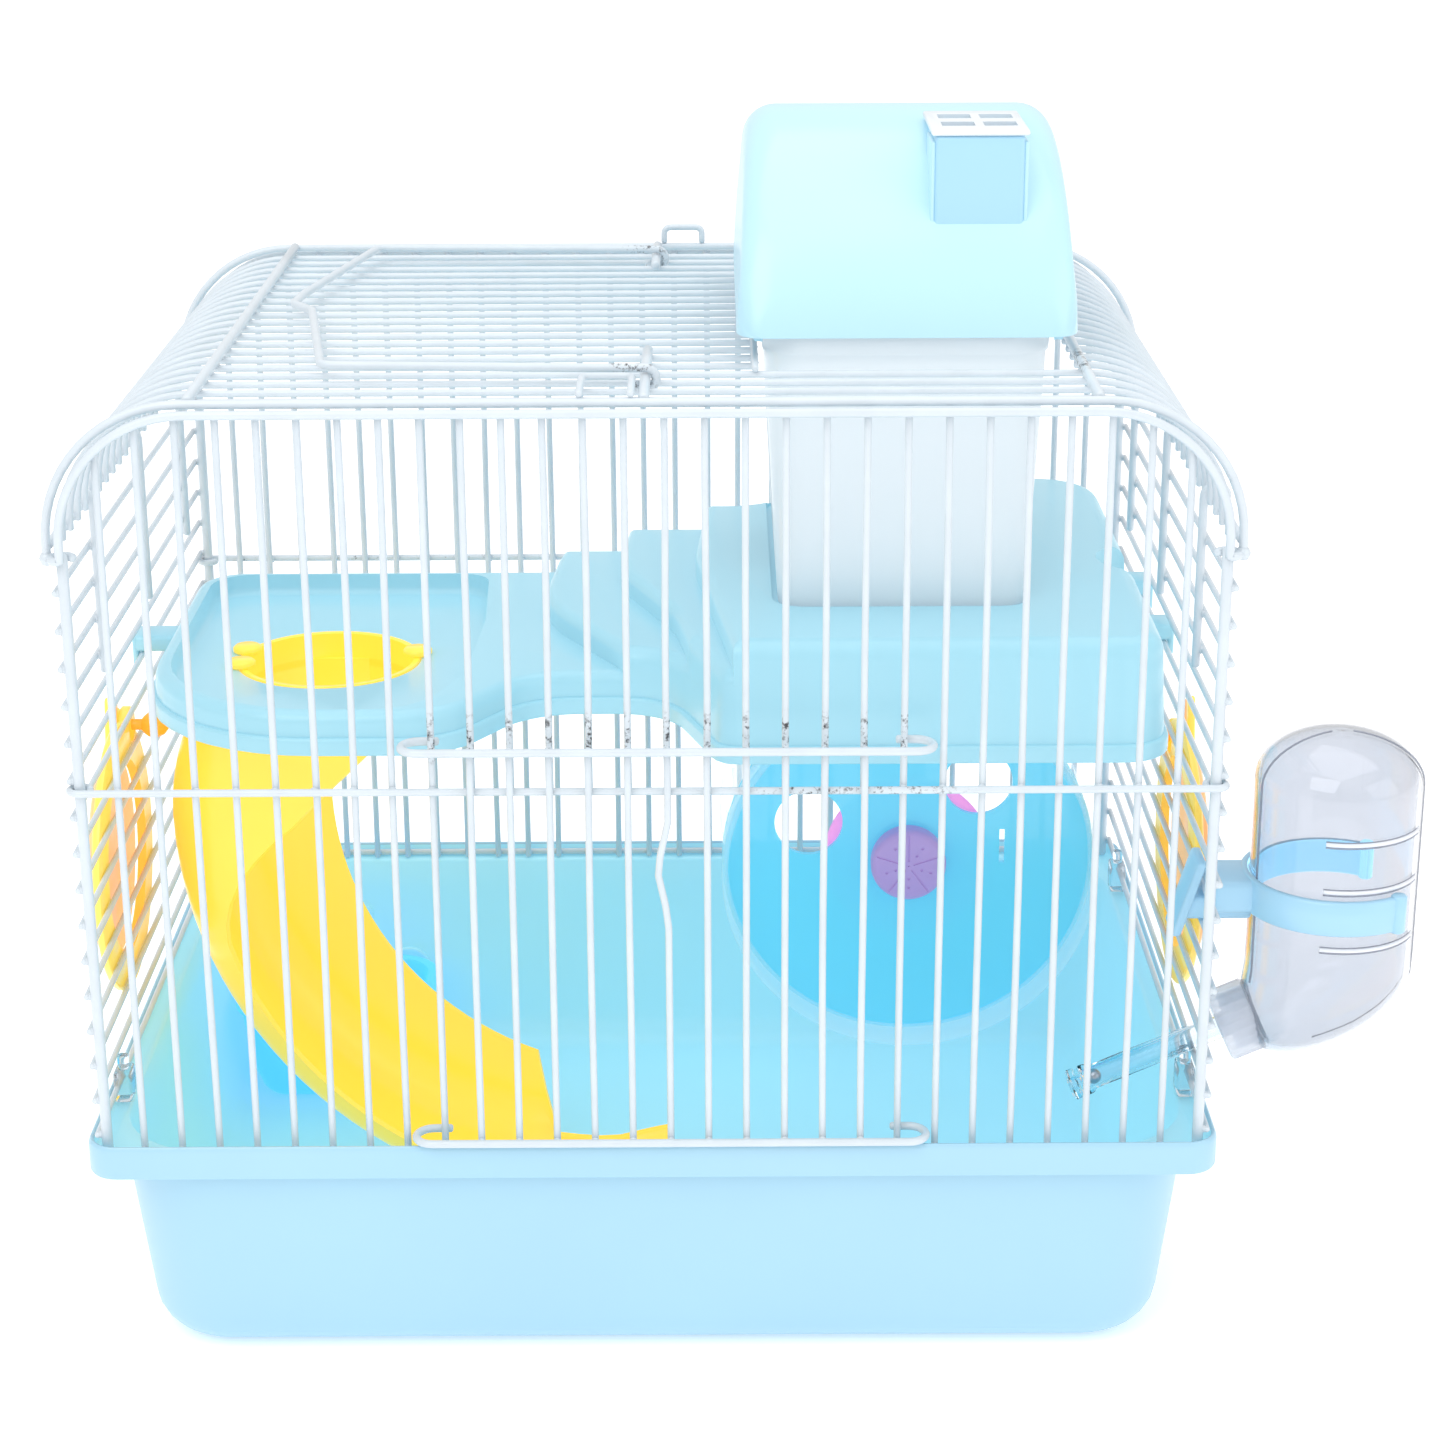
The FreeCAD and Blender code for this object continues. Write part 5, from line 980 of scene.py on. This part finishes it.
def lid():
    radius, axis_z, low = 61.5, 247.5, 261.0
    spread = degrees(acos((low - axis_z) / radius))
    verts, columns = [], 64
    for column in range(columns + 1):
        angle = radians(-spread + 2 * spread * column / columns)
        y, z = radius * sin(angle), axis_z + radius * cos(angle)
        near_end = max(0, abs(y) - 51.9)
        pull = 8.0 - sqrt(max(0, 64.0 - min(near_end, 8) ** 2))
        half = 42.0 - pull * 0.75
        lean = (z - low) * 0.045
        fillet = min(8.5, max(0.4, (z - low) * 0.75 + 0.6))
        section = []
        for share in (0, 0.25, 0.5, 0.75):
            height = low + (z - fillet - low) * share if z - fillet > low else low
            section.append((half - lean * (height - low) / max(z - low, 0.01), height))
        for turn in quarter(8):
            section.append((half - lean - fillet + fillet * cos(turn),
                            max(low, z - fillet) + min(fillet, z - low) * sin(turn)))
        inner = half - lean - fillet
        full = section + [(inner * s, z) for s in (0.75, 0.5, 0.25, 0)]
        line = full + [(-x, h) for x, h in reversed(full[:-1])]
        rows = len(line)
        for x, height in line:
            verts.append((HOUSE_X + x, y, height))
    faces = []
    for column in range(columns):
        for row in range(rows - 1):
            a = column * rows + row
            faces.append((a, a + 1, a + rows + 1, a + rows))
    shell = make_object("lid_shell", verts, faces, LID, 60)
    thick = shell.modifiers.new("wall", "SOLIDIFY")
    thick.thickness = 1.6 * MM
    thick.offset = -1
    bake(shell, 50)
    weld = shell.modifiers.new("weld", "WELD")
    weld.merge_threshold = 0.02 * MM
    bake(shell, 50)
    chimney = box_mesh("chimney", (70.5, -47.5, 276), (92.5, -14.5, 307.9), CHIMNEY, 1)
    flue = box_mesh("flue", (72.1, -45.9, 270), (90.9, -16.1, 312), CHIMNEY, 0)
    boolean(chimney, "DIFFERENCE", flue)
    extras = [box_mesh("lip", (x, -47, 279), (x + 1, -30, 306.5), LID, 0.4) for x in (69.6, 92.4)]
    extras += [box_mesh("ledge", (x, -40, 264.25), (x + 6.8, 40, 265.8), LID, 0.3) for x in (24.2, 97)]
    finish_piece(join("lid_shell", [shell, chimney] + extras), "lid", "lid_cyan", "house_lid")
    vent = box_mesh("vent_cover", (69.5, -48, 308), (93.5, -14, 309.45), VENT, 0.6)
    slots = []
    for x, y in ((72.6, -40.5), (72.6, -27.5), (83, -40.5), (83, -27.5)):
        slots.append(box_mesh("slot", (x, y, 300), (x + 8.2, y + 7, 320), None, 0))
    boolean(vent, "DIFFERENCE", *slots)
    finish_piece(vent, "lid", "vent_white", "chimney_vent")


# ---- Bottle
TILT = radians(24)
NECK_AXIS = Vector((-cos(TILT), 0, -sin(TILT)))
NECK = Vector((152, -75, 86.1))
BOTTLE_X, BOTTLE_Y, BOTTLE_R = 172.9, -75, 20.9
BOTTLE_FOOT, BOTTLE_SHOULDER, BOTTLE_DOME = 102, 151.5, 13.0
FOOT_DEPTH, FOOT_SHIFT = 24, 12.5


def foot_shift(height):
    """How far the bottle's skewed foot leans towards the neck at a height."""
    return FOOT_SHIFT * min(max(0, (BOTTLE_FOOT - height) / FOOT_DEPTH), 1) ** 1.7


def bottle_skin(name, shrink, neck_end):
    radius = BOTTLE_R - shrink
    profile = []
    for turn in quarter(16)[::-1]:
        profile.append((BOTTLE_FOOT - (FOOT_DEPTH - shrink) * sin(turn), max(0.05, radius * cos(turn))))
    profile += [(z, radius) for z in (108, 116, 124, 132, 140, 147)]
    for turn in quarter(12):
        profile.append((BOTTLE_SHOULDER + (BOTTLE_DOME - shrink) * sin(turn), max(0.05, radius * cos(turn))))
    body = lathe(name, profile, (BOTTLE_X, BOTTLE_Y, 0), ALONG_Z, BOTTLE, 64)
    for vertex in body.data.vertices:
        vertex.co.x -= MM * foot_shift(vertex.co.z / MM)
    neck = lathe("neck", [(0, 8.2 - shrink), (neck_end * 0.7, 7.4 - shrink), (neck_end, 7.2 - shrink)],
                 tuple(NECK - NECK_AXIS * 24), tuple(NECK_AXIS), BOTTLE, 48)
    return boolean(body, "UNION", neck)


def around_bottle(reach, angle, height):
    turn = radians(angle)
    return (BOTTLE_X + reach * cos(turn) - foot_shift(height), BOTTLE_Y + reach * sin(turn), height)


def bottle():
    outside = bottle_skin("bottle_shell", 0, 25.6)
    boolean(outside, "DIFFERENCE", bottle_skin("inside", 1.3, 27))
    seam_and_rib_shade, rib_highlights = Wires(8), Wires(8)
    for turn, low in ((195, 98), (-12, 80)):
        points = []
        for step in range(15):
            height = low + (BOTTLE_SHOULDER - low) * step / 14
            depth = max(0, (BOTTLE_FOOT - height) / FOOT_DEPTH)
            points.append(around_bottle(BOTTLE_R * sqrt(max(0.02, 1 - depth ** 2)), turn, height))
        for tilt in quarter(12)[1:-1]:
            points.append(around_bottle(BOTTLE_R * cos(tilt), turn,
                                        BOTTLE_SHOULDER + (BOTTLE_DOME - 0.1) * sin(tilt)))
        seam_and_rib_shade.add(points, 0.34)
    # Each rib is a pale glowing line on the raised ring, which is a painted highlight. Thin dark lines run below
    # and above it, painted shade at the ring's edges.
    for height in (113.4, 128.9, 141.5):
        for lift, reach, thick, wires in ((0, -0.2, 0.62, rib_highlights), (-0.8, -0.05, 0.26, seam_and_rib_shade),
                                          (0.75, -0.1, 0.16, seam_and_rib_shade)):
            wires.add([around_bottle(BOTTLE_R + reach, a, height + lift) for a in range(-108, -27, 5)], thick)
    lines = make_object("seam_and_rib_shade", seam_and_rib_shade.verts, seam_and_rib_shade.faces, SEAM_AND_RIB_SHADE)
    rib_highlight_lines = make_object("rib_highlight_lines", rib_highlights.verts, rib_highlights.faces, RIB_HIGHLIGHT)
    finish_piece(join("bottle_shell", [outside, lines, rib_highlight_lines]), "cage", "bottle_clear", "bottle_body")
    outside = [(0, 8.9, 0), (0.5, 9.5, 0), (1.2, 9.5, 0.35), (8.8, 9.5, 0.35), (9.5, 9.3, 0), (10, 8.6, 0)]
    bore = [(10, 3.25, 0), (7.6, 3.25, 0), (7.6, 7.55, 0), (0, 7.55, 0)]
    knurl = [turned_ring(NECK, NECK_AXIS, along - 3.4, [radius - depth, radius, radius] * 24)
             for along, radius, depth in outside + bore]
    cap = ring_loft("bottle_screw_cap", knurl, CAP_CLEAR, closed=True, smooth=30)
    finish_piece(cap, "spout", "cap_clear", "bottle_cap")
    seal = lathe("cap_seal", [(0, 3.25), (0, 7.1), (1.15, 7.1), (1.15, 3.25)], tuple(NECK + NECK_AXIS * 1.97),
                 tuple(NECK_AXIS), SEAL, 40, closed=True)
    finish_piece(seal, "spout", "seal_rubber", "bottle_seal")
    nozzle = [(0, 2.3), (0, 3.2), (20, 3.2), (39.6, 3.2), (40.8, 4), (42.2, 4.1), (42.6, 3.5), (43.4, 3.4),
              (43.9, 4), (45.4, 4.1), (46, 3.4), (46, 1.4), (42, 1.4), (41.6, 2.3), (20, 2.3)]
    tube = lathe("spout_tube", nozzle, tuple(NECK + NECK_AXIS * 2), tuple(NECK_AXIS), TUBE, 40, closed=True)
    finish_piece(tube, "spout", "tube_clear", "drinking_tube")


def holder():
    inner, outer = BOTTLE_R + 0.05, BOTTLE_R + 2.4
    band = []
    start, stop = 55, 305
    for step in range(61):
        angle = radians(start + (stop - start) * step / 60)
        c, s = cos(angle), sin(angle)
        section = []
        for r, z in ((inner, 118.5), (inner + 0.5, 118), (outer - 0.5, 118), (outer, 118.5),
                     (outer, 126.5), (outer - 0.5, 127), (inner + 0.5, 127), (inner, 126.5)):
            section.append((BOTTLE_X + r * c, BOTTLE_Y + r * s, z))
        band.append(section)
    strap = ring_loft("holder_strap", band, HOLDER)
    strap.data.materials.append(HOLDER_REAR_GLOW)
    # Inner faces of the strap's rear half, seen through the bottle, take the strongly glowing plastic: painted
    # light in the bottle's shadow.
    for face in strap.data.polygons:
        reach = hypot(face.center.x - BOTTLE_X * MM, face.center.y - BOTTLE_Y * MM)
        if face.center.y > -0.078 and reach < (inner + 0.4) * MM:
            face.material_index = 1
    ends = []
    # The rear tip glows the same way: painted light.
    for angle, material in ((start, HOLDER_REAR_GLOW), (stop, HOLDER)):
        c, s = cos(radians(angle)), sin(radians(angle))
        place = (BOTTLE_X + (outer - 0.8) * c, BOTTLE_Y + (outer - 0.8) * s, 117.5)
        ends.append(lathe("tip", [(0, 1.6), (0.4, 2), (9.6, 2), (10, 1.6)], place, ALONG_Z, material, 20))
    pad = box_mesh("pad", (141, -83.5, 118.2), (153.6, -66.5, 126.8), HOLDER, 1.6)
    arm = box_mesh("arm", (135.2, -80, 115.4), (152, -70, 121.4), HOLDER, 1)
    for thing in (pad, arm):
        profile = [(0, BOTTLE_R), (60, BOTTLE_R)]
        boolean(thing, "DIFFERENCE", lathe("cut", profile, (BOTTLE_X, BOTTLE_Y, 90), ALONG_Z, None, 64))
    blade = box_mesh("blade", (133.4, -81, 111), (135.9, -69, 131), HOLDER, 0.8)
    for vertex in blade.data.vertices:
        vertex.co.x += 0.3 * (vertex.co.z - 0.117)
    whole = join("holder_strap", [strap, pad, arm, blade] + ends)
    finish_piece(whole, "cage", "holder_blue", "bottle_holder")


# ---- Side ports
def plate_x(name, corners, start, stop, material, edge=0.5):
    """A plate across X on a (y, z, radius) outline, with softened edges."""
    outline = rounded_outline(corners, spacing=0.8)
    low, high = min(start, stop), max(start, stop)
    rings = []
    for amount, x in ((edge, low), (edge * 0.3, low + edge * 0.3), (0, low + edge), (0, high - edge),
                      (edge * 0.3, high - edge * 0.3), (edge, high)):
        rings.append([(x, p.x, p.y) for p in inset(outline, amount)])
    return ring_loft(name, rings, material)


RING_X, FLAP_X, PIN_X = 140.9, 144.15, 145.75


def port(name, side, y, z, rise):
    """A ring on a side panel, its flap on a pin, and the pin's knob; rise is the pin's height over the centre."""
    x = side * RING_X
    axis = (side, 0, 0)
    pin_y, pin_z = y + 17.5, z + rise
    ring = lathe(name + "_ring", [(0, 26), (0, 35.4), (0.5, 36), (1.6, 36), (2.4, 35.2), (2.9, 33), (2.9, 30),
                                  (2.4, 27.6), (2.4, 26)],
                 (x, y, z), axis, RING, 72, closed=True)
    lug = lathe("lug", [(0, 1.56), (0, 4.5), (0.5, 5), (2.4, 5), (2.85, 4.5), (2.85, 1.56)],
                (x, pin_y, pin_z), axis, RING, 32, closed=True)
    seat = lathe("seat", [(-3, 1.56), (8, 1.56)], (x, pin_y, pin_z), axis, None, 32)
    boolean(ring, "DIFFERENCE", seat)
    finish_piece(join(name + "_ring", [ring, lug]), "cage", "ring_yellow", name + "_port_ring")
    x = side * FLAP_X
    disc = lathe("disc", [(0, 0.2), (0, 27.4), (0.4, 28), (1.4, 28), (1.9, 27.2), (2, 22), (1.5, 20.5),
                          (1.5, 0.2)],
                 (x, y, z), axis, ORANGE, 72)
    middle, pin = Vector((y, z)), Vector((pin_y, pin_z))
    along = (pin - middle).normalized()
    aside = Vector((-along.y, along.x))
    arm = [middle + along * 14 - aside * 7, pin + along * 4.4 - aside * 4.4, pin + along * 4.4 + aside * 4.4,
           middle + along * 14 + aside * 7]
    things = [disc, plate_x("arm", [(p.x, p.y, 3) for p in arm], x + side * 0.05, x + side * 1.95, RING)]
    for shift in (0, 5.4):
        foot, tip = middle + Vector((5.0 + shift, 19)), middle + Vector((10.6 + shift, 41 - shift * 0.5))
        lean = (tip - foot).normalized()
        across = Vector((-lean.y, lean.x)) * 1.7
        corners = [foot - across, tip - across, tip + across, foot + across]
        things.append(plate_x("prong", [(p.x, p.y, 1.2) for p in corners], x + side * 0.1, x + side * 2,
                              ORANGE if shift else RING))
    hook = [(y + 2, z + 17, 2), (y + 15, z + 17, 2), (y + 15, z + 24, 3), (y + 2, z + 24, 3)]
    things.append(plate_x("hook", hook, x + side * 0.02, x + side * 3.2, RING, 0.8))
    finish_piece(join(name + "_flap", things), name + "_flap", "door_orange", name + "_port_door")
    shaft = [(-14.9, 0.2), (-14.6, 1.4), (-13.6, 2.7), (-12, 3.5), (-10.9, 3.6), (-9.4, 3.3), (-8.2, 2.4),
             (-7.5, 1.5), (0, 1.5), (0.4, 1.5), (0.8, 0.6)]
    pin = lathe(name + "_knob", shaft, (side * PIN_X, pin_y, pin_z), axis, AMBER, 32)
    finish_piece(pin, name + "_flap", "knob_amber", name + "_port_pin")


# ---- Studio
CAMERA_LENS = 75.58
CAMERA_TURN = (70.7113, 0.2247, -0.1950)
CAMERA_SPOT = (0.0167, -0.7888, 0.4170)


def studio():
    bpy.ops.mesh.primitive_plane_add(size=24, location=(0, 0, -0.0002))
    floor = bpy.context.object
    floor.name = "studio_floor"
    material, nodes, links, shader = new_material("studio_paper")
    set_inputs(shader, {"Base Color": (0.96, 0.96, 0.965, 1), "Roughness": 0.9,
                        "Emission Color": (1, 1, 1, 1), "Emission Strength": 0.3})
    floor.data.materials.append(material)
    world = bpy.data.worlds.new("studio")
    bpy.context.scene.world = world
    world.use_nodes = True
    set_inputs(world.node_tree.nodes["Background"], {"Color": (1, 1, 1, 1), "Strength": 0.82})
    for name, spot, aim, size, power in (("key", (-0.7, -1.2, 1.5), (0, 0, 0.12), 1.2, 10),
                                         ("top", (0.1, 0.1, 1.7), (0, 0, 0.1), 1.6, 9),
                                         ("fill", (1.4, -0.9, 0.8), (0, 0, 0.12), 1.2, 4)):
        light = bpy.data.lights.new(name, "AREA")
        light.size = size
        light.energy = power
        lamp = bpy.data.objects.new(name, light)
        lamp.location = spot
        lamp.rotation_mode = "QUATERNION"
        lamp.rotation_quaternion = (Vector(aim) - Vector(spot)).to_track_quat("-Z", "Y")
        bpy.context.scene.collection.objects.link(lamp)
    camera = bpy.data.cameras.new("camera")
    camera.sensor_width = 36
    camera.lens = CAMERA_LENS
    camera.clip_start, camera.clip_end = 0.05, 60
    lens = bpy.data.objects.new("camera", camera)
    lens.rotation_euler = [radians(angle) for angle in CAMERA_TURN]
    lens.location = CAMERA_SPOT
    bpy.context.scene.collection.objects.link(lens)
    bpy.context.scene.camera = lens
    bpy.context.scene.view_settings.view_transform = "Standard"


tray()
dish()
clips()
panel("front_panel", -1, ["front_wires", "front_rails", "front_arch"])
panel("back_panel", 1, ["back_wires", "back_rails", "back_arch"])
side_panel("left_panel", -1, ["left_side_wires", "left_roof_hooks"])
side_panel("right_panel", 1, ["right_side_wires", "right_roof_hooks"])
corner_posts()
roof()
carrying_handle()
sliding_door()
platform()
slide()
wheel()
wheel_mount()
house()
lid()
bottle()
holder()
port("left", -1, -34, 116, 31)
port("right", 1, -22, 111, 26.9)
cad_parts["tube_ball"].data.materials.clear()
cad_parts["tube_ball"].data.materials.append(STEEL)
studio()
